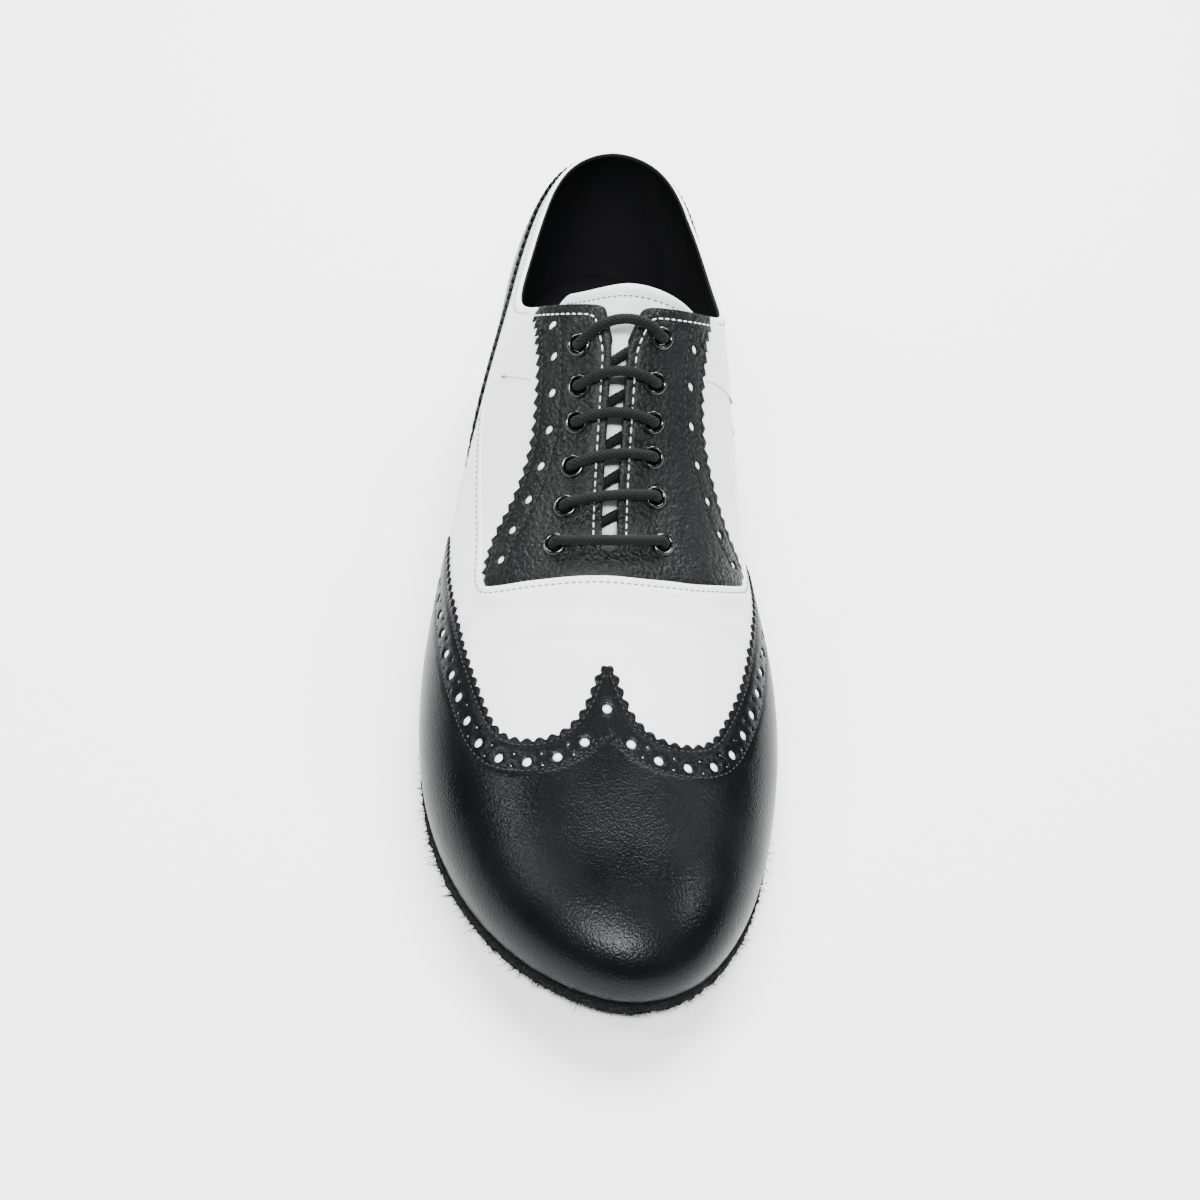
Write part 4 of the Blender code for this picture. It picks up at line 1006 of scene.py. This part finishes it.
# Toe cap: a black wingtip over the vamp, with a pinked edge, punched holes that show the white below and two
# rows of stitches. Its wings run back along both sides to the waist.
WING = (
    # along, outer arc, inner arc (shares of BALL_WIDTH), from the peak on the ridge to the waist
    (0.7055, 0.000, 0.000), (0.7057, 0.006, 0.006), (0.7085, 0.0155, 0.0155), (0.7140, 0.0245, 0.0245),
    (0.7230, 0.034, 0.034), (0.747, 0.063, 0.063), (0.768, 0.120, 0.122),
    (0.774, 0.200, 0.212), (0.764, 0.280, 0.290), (0.738, 0.330, 0.345), (0.700, 0.375, 0.400),
    (0.662, 0.420, 0.440), (0.612, 0.475, 0.495), (0.549, 0.557, 0.580), (0.500, 0.650, 0.680),
    (0.470, 0.780, 0.780),
)
WING_FOOT = 0.452
FOOT_INSET = 0.0003  # how far its lower edge stays up the wall from the feather line
PEAK_TOOTH = 0.2  # share of a tooth at the peak
PEAK_HOLE = 0.0405  # along, from the peak to the hole inside it
PEAK_CLEAR = 0.0058  # distance from the ridge to the first hole of each row
wing = {side: side_line(WING, side) for side in (INNER, OUTER)}


def foot_line(along, angle):
    """Chart points along the lower edge of the cap, close to the feather line."""
    along, angle = (np.array(v, float) for v in np.broadcast_arrays(along, angle))
    arc = share_at(half_sections(along, angle), np.zeros(len(along)))[1] - FOOT_INSET
    return np.column_stack([arc * np.cos(angle), along * LENGTH + arc * np.sin(angle)])


cap_sides = np.linspace(WING_FOOT, TOE_PIVOT, 90)
toe_foot = foot_line(TOE_PIVOT, np.linspace(0, math.pi, 120)[1:-1])
inner_foot = foot_line(cap_sides, INNER)
outer_foot = foot_line(cap_sides, OUTER)[::-1]
wing_cut = {
    side: pinked(np.vstack([wing[side], foot]), -SIGN[side], start=PEAK_TOOTH)
    for side, foot in ((INNER, inner_foot[:1]), (OUTER, outer_foot[-1:]))
}
for cut_line in wing_cut.values():
    cut_line[0, 0] = 0.0  # the two sides meet on the ridge
cap_loop = np.concatenate([
    wing_cut[OUTER][::-1], wing_cut[INNER], inner_foot[1:], toe_foot, outer_foot[:-1],
])
cap_rows, cap_holes = [], []
for side, sign in SIGN.items():
    line = wing[side]
    cap_rows.append(beside(line, sign * EDGE_TO_STITCH)[2:-3])
    second = beside(line, sign * EDGE_TO_SECOND_STITCH)
    cap_rows.append(second[second[:, 0] * sign > 0.0005][:-8])
    holes = beside(line, sign * EDGE_TO_HOLES)
    cap_holes += broguing(on_chart, holes[holes[:, 0] * sign > PEAK_CLEAR][:-8])
peak_hole = np.array([0.0, (WING[0][0] + PEAK_HOLE) * LENGTH])
cap_holes.append(circle(peak_hole, BIG_HOLE, 16, chart_stretch(on_chart, peak_hole)))
pattern_piece("toe_cap_leather", on_chart, cap_loop, cap_holes, cap_rows, black_leather,
              ["toe_cap"], spacing=0.0016)
hole_floors("toe_cap_hole_floors", on_chart, cap_holes)
stitches("toe_cap_stitching", on_chart, cap_rows, STITCH_SEAT, black_thread, pitch=0.0018)


# Tongue: white leather, lined in the same, sewn in under the throat. Its colour is greyed all over with
# painted shade for the shadow in the slot, where it shows as a grey-white strip. It stands above the topline
# as a shallow arc with a stitched edge.
TONGUE_ROOT = 0.700
TONGUE_TIP = 0.366
TONGUE_SWEEP = 0.038
TONGUE_CORNER = 0.026
TONGUE_MARGIN = 0.010
TONGUE_ROOT_HALF = 0.0190
TONGUE_TIP_HALF = 0.0330
TONGUE_LEAN = 0.0110  # how much further it reaches on the inner side
TONGUE_LENGTH = 0.095  # from its root to its corners
TONGUE_THICKNESS = 0.0018
TONGUE_TO_STITCH = 0.0032
TONGUE_SEAM = 0.0003  # how far its row of stitches draws it in
TONGUE_ROLL = 0.0006  # how far its edges are rounded down
TONGUE_LANES = 61
TONGUE_ROWS = 120
LACE_DIAMETER = 0.0029
TONGUE_FOLDS = (
    # along, height of a soft cross fold (metres), width (metres)
    (0.425, 0.00060, 0.0026), (0.452, -0.00070, 0.0024), (0.487, 0.00060, 0.0026),
    (0.520, -0.00065, 0.0022), (0.556, 0.00055, 0.0026),
)
# Both tones lie below the white leather's. The grey is painted shade for the slot's shadow, spread over the
# whole tongue by the grain's blotches.
tongue_leather = leather(
    "white leather greyed by painted shade", (0.46, 0.48, 0.49), (0.80, 0.81, 0.81), 0.40, 0.55,
    {"Cells per metre": 1400.0, "Cell depth": 0.35, "Wrinkles per metre": 120.0, "Wrinkle depth": 0.8},
    depth=0.00014,
)


def tongue_depth(along):
    """Depth of the tongue's top face under the last: clear of the laces, then up against the vamp."""
    under_lace = WALL + LACE_DIAMETER + 3 * GAP
    share = ease((along - SLOT_END - TONGUE_MARGIN) / (TONGUE_ROOT - SLOT_END - 2 * TONGUE_MARGIN))
    return under_lace + (WALL + GAP - under_lace) * share


def tongue_surface(across, share):
    """Top face of the tongue: across from -1 to 1, share from its root to its tip."""
    corner = TONGUE_CORNER * np.clip((np.abs(across) - 0.78) / 0.22, 0, 1) ** 2
    tip = TONGUE_TIP - TONGUE_SWEEP * across**2 + corner
    along = TONGUE_ROOT + (tip - TONGUE_ROOT) * share
    widening = TONGUE_TIP_HALF - TONGUE_ROOT_HALF + TONGUE_LEAN * np.maximum(across, 0)
    half = TONGUE_ROOT_HALF + widening * share
    points, normals = on_chart(np.column_stack([across * half, along * LENGTH]))
    lift = sum(h * np.exp(-(((along - a) * LENGTH + 0.002 * across) / w) ** 2) for a, h, w in TONGUE_FOLDS)
    return points + (lift - tongue_depth(along))[:, None] * normals, normals


lanes, lengths = np.meshgrid(np.linspace(-1, 1, TONGUE_LANES), np.linspace(0, 1, TONGUE_ROWS))
lanes, lengths = lanes.ravel(), lengths.ravel()
tongue_top, tongue_normals = tongue_surface(lanes, lengths)
tip_gap = (1 - lengths) * TONGUE_LENGTH
side_gap = np.minimum((1 - np.abs(lanes)) * TONGUE_TIP_HALF, tip_gap)
rolled = TONGUE_ROLL * np.clip(1 - side_gap / (2 * TONGUE_ROLL), 0, 1) ** 2
seam = TONGUE_SEAM * np.exp(-((tip_gap - TONGUE_TO_STITCH) / 0.0006) ** 2)
tongue_top -= (rolled + seam)[:, None] * tongue_normals
tongue_under = tongue_top - (TONGUE_THICKNESS - 2 * rolled)[:, None] * tongue_normals
tongue_faces, total, wide = [], len(tongue_top), TONGUE_LANES
for first in range(0, total - wide, wide):
    for a in range(first, first + wide - 1):
        over = (a, a + 1, a + wide + 1, a + wide)
        tongue_faces += [over, tuple(total + v for v in over[::-1])]
border = [*range(wide - 1), *range(wide - 1, total - 1, wide), *range(total - 1, total - wide, -1),
          *range(total - wide, 0, -wide)]
for a, b in zip(border, border[1:] + border[:1]):
    tongue_faces.append((b, a, a + total, b + total))
new_piece("tongue_leather", np.concatenate([tongue_top, tongue_under]), tongue_faces, [tongue_leather],
          ["tongue"])


def on_tongue(w):
    """Points and normals of the tongue: w[:, 0] is the distance across, w[:, 1] that from its tip."""
    return tongue_surface(w[:, 0] / TONGUE_TIP_HALF, 1 - w[:, 1] / TONGUE_LENGTH)


tongue_row = np.linspace([-0.0305, TONGUE_TO_STITCH], [0.0305, TONGUE_TO_STITCH], 64)
stitches("tongue_stitching", on_tongue, [tongue_row], -0.00012, grey_thread)


# Vamp seam: the white vamp is laid over the quarters and the lower edge of the facing, and sewn down close
# to its edge in pale grey. The topline is sewn in the same thread, and so is a row on each quarter, which
# runs from the facing down to a bar tack.
VAMP_THICKNESS = 0.00055
VAMP_HIDDEN = 0.006  # how far it runs under the toe cap's edge
VAMP_EDGE_TO_STITCH = 0.0017
VAMP_RIDE = 0.00070  # how much higher it lies where it is over the facing
WING_REST = 15  # points of the wing's line that lie behind the vamp
under_wing = {side: beside(wing[side], sign * VAMP_HIDDEN) for side, sign in SIGN.items()}
under_wing = {side: line[SIGN[side] * line[:, 0] > 0.001] for side, line in under_wing.items()}
wing_end = {side: line[-WING_REST] for side, line in under_wing.items()}


def swept(start, end):
    """Chart points of the vamp's back edge, which curves down from its seam to the waist."""
    t = np.linspace(0, 1, 26)[1:, None]
    through = np.array([0.96 * end[0], start[1] + 0.003])
    return (1 - t) ** 2 * start + 2 * t * (1 - t) * through + t**2 * end


vamp_border = np.concatenate([
    swept(vamp_seam[0], wing_end[OUTER])[::-1], vamp_seam, swept(vamp_seam[-1], wing_end[INNER]),
])
vamp_loop = np.concatenate([
    vamp_border, under_wing[INNER][:-WING_REST][::-1], under_wing[OUTER][:-WING_REST],
])
vamp_rows = [beside(vamp_border, VAMP_EDGE_TO_STITCH)[4:-4]]


def vamp_relief(q):
    """The creases, less the height by which the vamp rides up over the facing's pared edge."""
    gap = distance_to(q, [ringed(facing_loop)], 0.006) * ~inside_loops(q, [facing_loop])
    over = 1 - ease((gap - 0.0005) / 0.0035)
    return crease_depth(q, VAMP_CREASES) * (1 - over) - VAMP_RIDE * over


pattern_piece("vamp_leather", on_chart, vamp_loop, [], vamp_rows, white_leather, [],
              spacing=0.0022, thickness=VAMP_THICKNESS, lift=-0.00005, relief=vamp_relief)
stitches("vamp_stitching", on_chart, vamp_rows, lambda q: VAMP_THICKNESS - 0.0002 - vamp_relief(q),
         grey_thread, pitch=0.0019, radius=0.00019)
TOPLINE_TO_STITCH = 0.0023
to_corner = np.linspace(HEEL_PIVOT, 0.356, 70)
round_heel = np.linspace(2 * math.pi, math.pi, 60)[1:-1]
edge_along = np.concatenate([to_corner[::-1], np.full(len(round_heel), HEEL_PIVOT), to_corner])
edge_angle = np.concatenate([0 * to_corner + INNER, round_heel, 0 * to_corner + OUTER])
stitch_arc = collar_arc(edge_along, edge_angle) + TOPLINE_TO_STITCH
topline, topline_normals = on_last(edge_along, edge_angle, stitch_arc)
topline_run = run_along(topline)


def on_topline(w):
    """Points and normals a little below the topline, at distances round it."""
    return [
        np.column_stack([np.interp(w[:, 0], topline_run, v[:, k]) for k in range(3)])
        for v in (topline, topline_normals)
    ]


topline_row = np.array([[0.004, 0.0], [topline_run[-1] - 0.004, 0.0]])
stitches("topline_stitching", on_topline, [topline_row], 0.0, grey_thread)
TACKS = (
    # along and arc at the facing's edge, along and arc at the bar tack (shares), side
    (0.412, 0.312, 0.378, 0.570, 1), (0.424, 0.280, 0.392, 0.450, -1),
)
tack_rows = [
    np.linspace([sign * a * BALL_WIDTH, at * LENGTH], [sign * b * BALL_WIDTH, to * LENGTH], 24)
    for at, a, to, b, sign in TACKS
]
stitches("quarter_stitching", on_chart, tack_rows, 0.0, grey_thread, pitch=0.0017,
         radius=0.00018)
stitches("bar_tacks", on_chart, [row[-5:] for row in tack_rows], 0.0001, grey_thread,
         pitch=0.0006, share=1.3, radius=0.00042)


# Eyelets: black enamelled metal rings with a rolled flange on the facing, their barrels set through facing
# and quarter.
EYELET_BORE = 0.00200  # radius
EYELET_FLANGE = 0.00345  # radius
EYELET_HEIGHT = 0.00095
EYELET_WALL = 0.0003
EYELET_NECK = 0.0010  # depth at which the barrel leaves the flange
EYELET_DEPTH = 0.0034
EYELET_TURN = 36
FLANGE_MIDDLE = (EYELET_BORE + EYELET_FLANGE) / 2
FLANGE_HALF = (EYELET_FLANGE - EYELET_BORE) / 2
enamel, tree, shader = new_material("black enamel")
spot = node(tree, "ShaderNodeTexCoord").outputs["Object"]
rub = node(tree, "ShaderNodeTexNoise", vector=spot, scale=900.0, detail=3.0)
shine = node(tree, "ShaderNodeMapRange", value=rub, from_min=0.35, from_max=0.75, to_min=0.10, to_max=0.28)
plug(tree, shader, base_color=(0.0016, 0.0018, 0.0020, 1), roughness=shine, specular_ior_level=0.5,
     coat_weight=0.5, coat_roughness=0.12)
eyelet_profile = [(EYELET_BORE, -EYELET_DEPTH), (EYELET_BORE, -EYELET_NECK)]
eyelet_profile += [
    (FLANGE_MIDDLE + FLANGE_HALF * math.cos(turn), 0.00005 + EYELET_HEIGHT * max(math.sin(turn), -0.3))
    for turn in np.linspace(math.pi, -math.pi / 2, 9)
]
eyelet_profile += [(EYELET_BORE + EYELET_WALL, -depth) for depth in (EYELET_NECK, EYELET_DEPTH)]
for (pair, sign), centre in EYELET_PLACES.items():
    base, normal = (v[0] for v in on_chart(centre[None]))
    base = base + (OVERLAY_LIFT + OVERLAY_THICKNESS - 0.00028) * normal
    first_side = np.cross(normal, [0.0, 1.0, 0.0])
    first_side /= np.linalg.norm(first_side)
    other = np.cross(normal, first_side)
    ring, faces, rows = [], [], len(eyelet_profile)
    for s in range(EYELET_TURN):
        turn = 2 * math.pi * s / EYELET_TURN
        spoke = math.cos(turn) * first_side + math.sin(turn) * other
        ring += [base + r * spoke + h * normal for r, h in eyelet_profile]
        after = (s + 1) % EYELET_TURN
        for k in range(rows):
            m = (k + 1) % rows
            faces.append((s * rows + k, after * rows + k, after * rows + m, s * rows + m))
    word = "outer" if sign < 0 else "inner"
    new_piece(f"eyelet_ring_{word}_{pair + 1}", ring, faces, [enamel],
              [f"eyelet_{word}_{pair + 1}"])


# Outsole: a thin sole of black suede, flat under the ball, with a cut edge that shows round the toe and
# frays a little. The heel seat and the waist carry the same suede.
SOLE_EDGE = 0.0022
FRAY = 0.00027
FIBRES = 760
FIBRE_START = 0.70  # along, where the edge starts to shed them
FIBRE_ROOT = 0.0003  # how far in from the edge they start
FIBRE_SHORTEST = 0.0006
FIBRE_SPREAD = 0.0019
FIBRE_SIZE = 0.00015
suede = leather(
    "black suede", (0.0018, 0.0019, 0.0020), (0.0060, 0.0063, 0.0066), 0.92, 1.0,
    {"Cells per metre": 2400.0, "Cell depth": 1.4, "Wrinkles per metre": 320.0, "Wrinkle depth": 1.2},
    depth=0.00050, sheen=0.03, gleam=0.08,
)
edge_turn = np.linspace(-math.pi / 2, math.pi / 2, 9)
sole_line = spaced(ringed(feather), 0.0009)[0][:-1]
outwards = offset_outline(sole_line, 1.0) - sole_line
fray = np.random.default_rng(7).normal(0, FRAY, (len(edge_turn), len(sole_line)))
sole_rings = []
for level, turn in enumerate(edge_turn):
    out = SOLE_EDGE - 0.0006 * (1 - math.cos(turn)) + fray[level] * (math.cos(turn) > 0.3)
    flat = sole_line + out[:, None] * outwards
    height = sole_bottom((HEEL_Y - flat[:, 1]) / LENGTH) + SOLE_THICKNESS / 2 * (1 + math.sin(turn))
    sole_rings.append(np.column_stack([flat, height]))
plate("suede_sole", sole_rings, suede, ["outsole"], rows=16)
loose = np.random.default_rng(11)
edge_at = np.flatnonzero((HEEL_Y - sole_line[:, 1]) / LENGTH > FIBRE_START)
fibre_points, fibre_faces = [], []
for _ in range(FIBRES):
    k = loose.choice(edge_at)
    start = sole_rings[int(loose.integers(1, 5))][k]
    out = np.array([*outwards[k], 0.0])
    way = out + loose.normal(0, 0.55, 3) * [1, 1, 0.45] + [0, 0, 0.10]
    way /= np.linalg.norm(way)
    curl = loose.normal(0, 0.35, 3)
    fibre_length = FIBRE_SHORTEST + FIBRE_SPREAD * loose.random() ** 2
    fibre_faces += round_faces(4, 3, len(fibre_points))
    for step in range(4):
        spot = start - FIBRE_ROOT * out + fibre_length * step / 3 * (way + curl * (step / 3) ** 2)
        spot[2] = max(spot[2], 0.0002)
        size = FIBRE_SIZE * (1 - 0.25 * step)
        for turn in (0, 2 * math.pi / 3, 4 * math.pi / 3):
            across = math.cos(turn) * np.array([out[1], -out[0], 0.0])
            fibre_points.append(spot + size * (across + [0.0, 0.0, math.sin(turn)]))
new_piece("loose_suede_fibres", fibre_points, fibre_faces, [suede])


# Heel: a low stacked heel of leather lifts under the seat, painted black and polished, its front face raked a
# little. A suede top piece lies between it and the floor.
HEEL_TIP_THICKNESS = 0.0045
HEEL_INSET = 0.0006
HEEL_TAPER = 0.0016
BREAST_RAKE = 0.0030
LIFT = 0.0048  # thickness of one lift
LIFT_ROUND = 0.00018  # height of a lift's rounded edge, which is set back by LIFT_GROOVE
LIFT_GROOVE = 0.00010
heel_paint = leather(
    "painted heel", (0.0030, 0.0030, 0.0034), (0.0070, 0.0070, 0.0076), 0.30, 0.45,
    {"Cells per metre": 700.0, "Cell depth": 0.25, "Wrinkles per metre": 200.0, "Wrinkle depth": 0.3},
    depth=0.00012, coat=0.04, gleam=0.20,
)


def heel_ring(z, back):
    """Outline of the heel at a height, its front face straight and its corners rounded."""
    drop = 1 - z / HEEL_HEIGHT
    outline = offset_outline(feather, SOLE_EDGE - HEEL_INSET - HEEL_TAPER * drop - back)
    limit = HEEL_Y - (SEAT_END * LENGTH - 0.001 - BREAST_RAKE * drop) + back
    turned = outline[np.argsort(np.arctan2(outline[:, 1] - limit - 0.02, outline[:, 0] - CENTRE_X))]
    start = np.argmin(np.abs(turned[:, 1] - limit) + 10 * (turned[:, 0] < CENTRE_X))
    turned = np.roll(turned, -start, axis=0)
    behind = turned[turned[:, 1] > limit]
    across = np.column_stack([np.linspace(behind[-1, 0], behind[0, 0], 22), np.full(22, limit)])
    line, _ = spaced(np.vstack([behind, across]), 0.0008)
    run = run_along(line)
    at = np.linspace(0, run[-1], 221)[:-1]
    even = np.column_stack([np.interp(at, run, line[:, k]) for k in range(2)])
    for _ in range(3):
        even = (np.roll(even, 1, axis=0) + 2 * even + np.roll(even, -1, axis=0)) / 4
    return np.column_stack([even, np.full(len(even), z)])


def heel_block(name, levels, material, node_name):
    """Closed block from outlines at (height, how far it is set back), lowest first."""
    rings = [heel_ring(z, back) for z, back in levels]

    def inwards(ring):
        middle = ring.mean(axis=0)
        return [middle + (ring - middle) * share for share in np.linspace(1, 0, 8)[1:]]

    rings = [*inwards(rings[0])[::-1], *rings, *inwards(rings[-1])]
    faces = round_faces(len(rings), len(rings[0]))
    new_piece(name, np.concatenate(rings), faces, [material], [node_name], sharp=50)


lift_levels = []
z = HEEL_TIP_THICKNESS + GAP
while z < HEEL_HEIGHT - GAP - 0.001:
    top = min(z + LIFT, HEEL_HEIGHT - GAP)
    lift_levels += [(z, LIFT_GROOVE), (z + LIFT_ROUND, 0.0), (top - LIFT_ROUND, 0.0), (top, LIFT_GROOVE)]
    z = top
heel_block("heel_lifts", lift_levels, heel_paint, "heel")
tip_levels = [(0.0, 0.0006), (0.0005, 0.0001), (0.0010, 0.0), (HEEL_TIP_THICKNESS - 0.0004, 0.0),
              (HEEL_TIP_THICKNESS, 0.0003)]
heel_block("heel_top_piece", tip_levels, suede, "heel_tip")


# Lace: round braided black cord, six slack bars over the throat and a slant below each up to the next pair.
# It runs through every eyelet, and its ends go in at the top and bottom ones.
LACE_ARCH = 0.0004
LACE_BEND = 0.0014
LACE_STRANDS = 7
LACE_SIDES = 42
LACE_RIDGE = 0.00032
LACE_TURN = 0.0090  # length over which a strand goes once round
lace_fabric, tree, shader = new_material("black braid")
spot = node(tree, "ShaderNodeTexCoord").outputs["Object"]
fuzz = node(tree, "ShaderNodeTexNoise", vector=spot, scale=2400.0, detail=3.0)
bump = node(tree, "ShaderNodeBump", strength=1.0, distance=0.00016, height=fuzz)
plug(tree, shader, base_color=two_tone(tree, fuzz, (0.0004, 0.0005, 0.0005), (0.0026, 0.0030, 0.0032)),
     roughness=0.72, normal=bump, sheen_weight=0.02, specular_ior_level=0.22)


def lace_route():
    """Chart places and heights along the lace's centre line, from the lowest inner eyelet up."""
    radius = LACE_DIAMETER / 2
    over = OVERLAY_THICKNESS + 0.0009 + radius
    under = -(WALL + GAP + radius)
    route = []

    def run(start, end, height, arch, bow, steps):
        unit = (end - start) / np.linalg.norm(end - start)
        first, last = start + LACE_BEND * unit, end - LACE_BEND * unit
        for k in range(steps + 1):
            share = k / steps
            rise = math.sin(math.pi * share)
            route.append((first + share * (last - first) + [0, -bow * rise**0.8], height + arch * rise))

    for pair, row in enumerate(EYELETS):
        inner, outer = (EYELET_PLACES[pair, sign] for sign in (1, -1))
        bow = row[3] * BALL_WIDTH
        for height in (under + LACE_BEND, over - LACE_BEND):
            route.append((inner, height))
        run(inner, outer, over, LACE_ARCH + 0.6 * max(bow, 0), bow, 9)
        for height in (over - LACE_BEND, under + LACE_BEND):
            route.append((outer, height))
        if pair < len(EYELETS) - 1:
            run(outer, EYELET_PLACES[pair + 1, 1], under, 0.0, 0.0, 5)
    return route


route = lace_route()
lace_points, lace_normals = on_chart(np.array([place for place, _ in route]))
lace_points = lace_points + np.array([height for _, height in route])[:, None] * lace_normals
run = run_along(lace_points)
path = [Curve(run, lace_points[:, k]) for k in range(3)]
guide = [Curve(run, lace_normals[:, k]) for k in range(3)]
at = np.arange(0, run[-1], 0.00030)
line = np.column_stack([c(at) for c in path])
way = np.gradient(line, axis=0)
way /= np.linalg.norm(way, axis=1)[:, None]
sides = [np.cross(way[0], [c(0.0) for c in guide])]
for step in way[1:]:
    turned = sides[-1] - (sides[-1] @ step) * step
    sides.append(turned / np.linalg.norm(turned))
sides = np.array(sides)
others = np.cross(way, sides)
turn = np.arange(LACE_SIDES) * 2 * math.pi / LACE_SIDES
phase = at[:, None] / LACE_TURN * 2 * math.pi
left = np.cos(LACE_STRANDS * (turn[None] + phase))
right = np.cos(LACE_STRANDS * (turn[None] - phase))
radius = LACE_DIAMETER / 2 + LACE_RIDGE * (np.maximum(left, right) - 0.75)
tube = line[:, None] + radius[..., None] * (
    np.cos(turn)[None, :, None] * sides[:, None] + np.sin(turn)[None, :, None] * others[:, None]
)
last = (len(at) - 1) * LACE_SIDES
ends = [tuple(range(LACE_SIDES))[::-1], tuple(range(last, last + LACE_SIDES))]
new_piece("lace_cord", tube.reshape(-1, 3), [*round_faces(len(at), LACE_SIDES), *ends], [lace_fabric],
          ["lace"])


# Studio: a plain pale floor in a softly lit room, with a strip of light in front of the toe, a wide one
# behind the heel and a weak one at each side. The camera stands at the photograph's angle.
CAMERA_ELEVATION = math.radians(49)
CAMERA_AZIMUTH = math.radians(-6.5)
CAMERA_ROLL = math.radians(7.5)
CAMERA_DISTANCE = 0.58
FOCAL_PIXELS = 1850.0
FRAME_PIXELS = 1200.0
AIM_PIXEL = (598.0, 627.0)  # where the origin lies in the photograph's frame
aim = Vector((CENTRE_X, -0.0006, 0.0))
away = Vector((
    math.sin(CAMERA_AZIMUTH) * math.cos(CAMERA_ELEVATION),
    -math.cos(CAMERA_AZIMUTH) * math.cos(CAMERA_ELEVATION),
    math.sin(CAMERA_ELEVATION),
))
right = Vector((math.cos(CAMERA_AZIMUTH), math.sin(CAMERA_AZIMUTH), 0.0))
up = away.cross(right)
rolled_right = right * math.cos(CAMERA_ROLL) + up * math.sin(CAMERA_ROLL)
rolled_up = up * math.cos(CAMERA_ROLL) - right * math.sin(CAMERA_ROLL)
lens = bpy.data.cameras.new("camera")
lens.sensor_width = 36.0
lens.sensor_fit = "HORIZONTAL"
lens.lens = FOCAL_PIXELS / FRAME_PIXELS * lens.sensor_width
lens.shift_x = (FRAME_PIXELS / 2 - AIM_PIXEL[0]) / FRAME_PIXELS
lens.shift_y = (AIM_PIXEL[1] - FRAME_PIXELS / 2) / FRAME_PIXELS
lens.clip_start = 0.01
camera = bpy.data.objects.new("camera", lens)
bpy.context.scene.collection.objects.link(camera)
turned_to = Matrix((rolled_right, rolled_up, away)).transposed()
camera.matrix_world = Matrix.Translation(aim + away * CAMERA_DISTANCE) @ turned_to.to_4x4()
bpy.context.scene.camera = camera

floor_mesh = bpy.data.meshes.new("floor")
floor_mesh.from_pydata([(-3, -3, 0), (3, -3, 0), (3, 3, 0), (-3, 3, 0)], [], [(0, 1, 2, 3)])
paper, tree, shader = new_material("pale paper")
plug(tree, shader, base_color=(0.95, 0.96, 0.955, 1), roughness=0.9)
floor_mesh.materials.append(paper)
floor = bpy.data.objects.new("floor", floor_mesh)
bpy.context.scene.collection.objects.link(floor)

world = bpy.data.worlds.new("soft room")
bpy.context.scene.world = world
world.use_nodes = True
world.node_tree.nodes["Background"].inputs["Color"].default_value = (0.93, 0.97, 1.0, 1)
world.node_tree.nodes["Background"].inputs["Strength"].default_value = 0.20

SOFT_LIGHTS = (
    # name, place, width, depth, watts
    ("front", (-0.08, -0.60, 1.00), 0.60, 0.10, 25.0),
    ("back", (0.08, 0.66, 0.90), 0.95, 0.60, 46.0),
    ("left", (-0.68, -0.05, 0.82), 0.20, 0.20, 4.5),
    ("right", (0.72, -0.03, 0.78), 0.20, 0.20, 3.5),
)
for name, spot, wide, deep, watts in SOFT_LIGHTS:
    lamp = bpy.data.lights.new(name, "AREA")
    lamp.shape = "ELLIPSE"
    lamp.size, lamp.size_y = wide, deep
    lamp.energy = watts
    holder = bpy.data.objects.new(name, lamp)
    holder.location = spot
    holder.rotation_euler = (Vector(spot) - Vector((0, 0, 0.03))).to_track_quat("Z", "Y").to_euler()
    bpy.context.scene.collection.objects.link(holder)
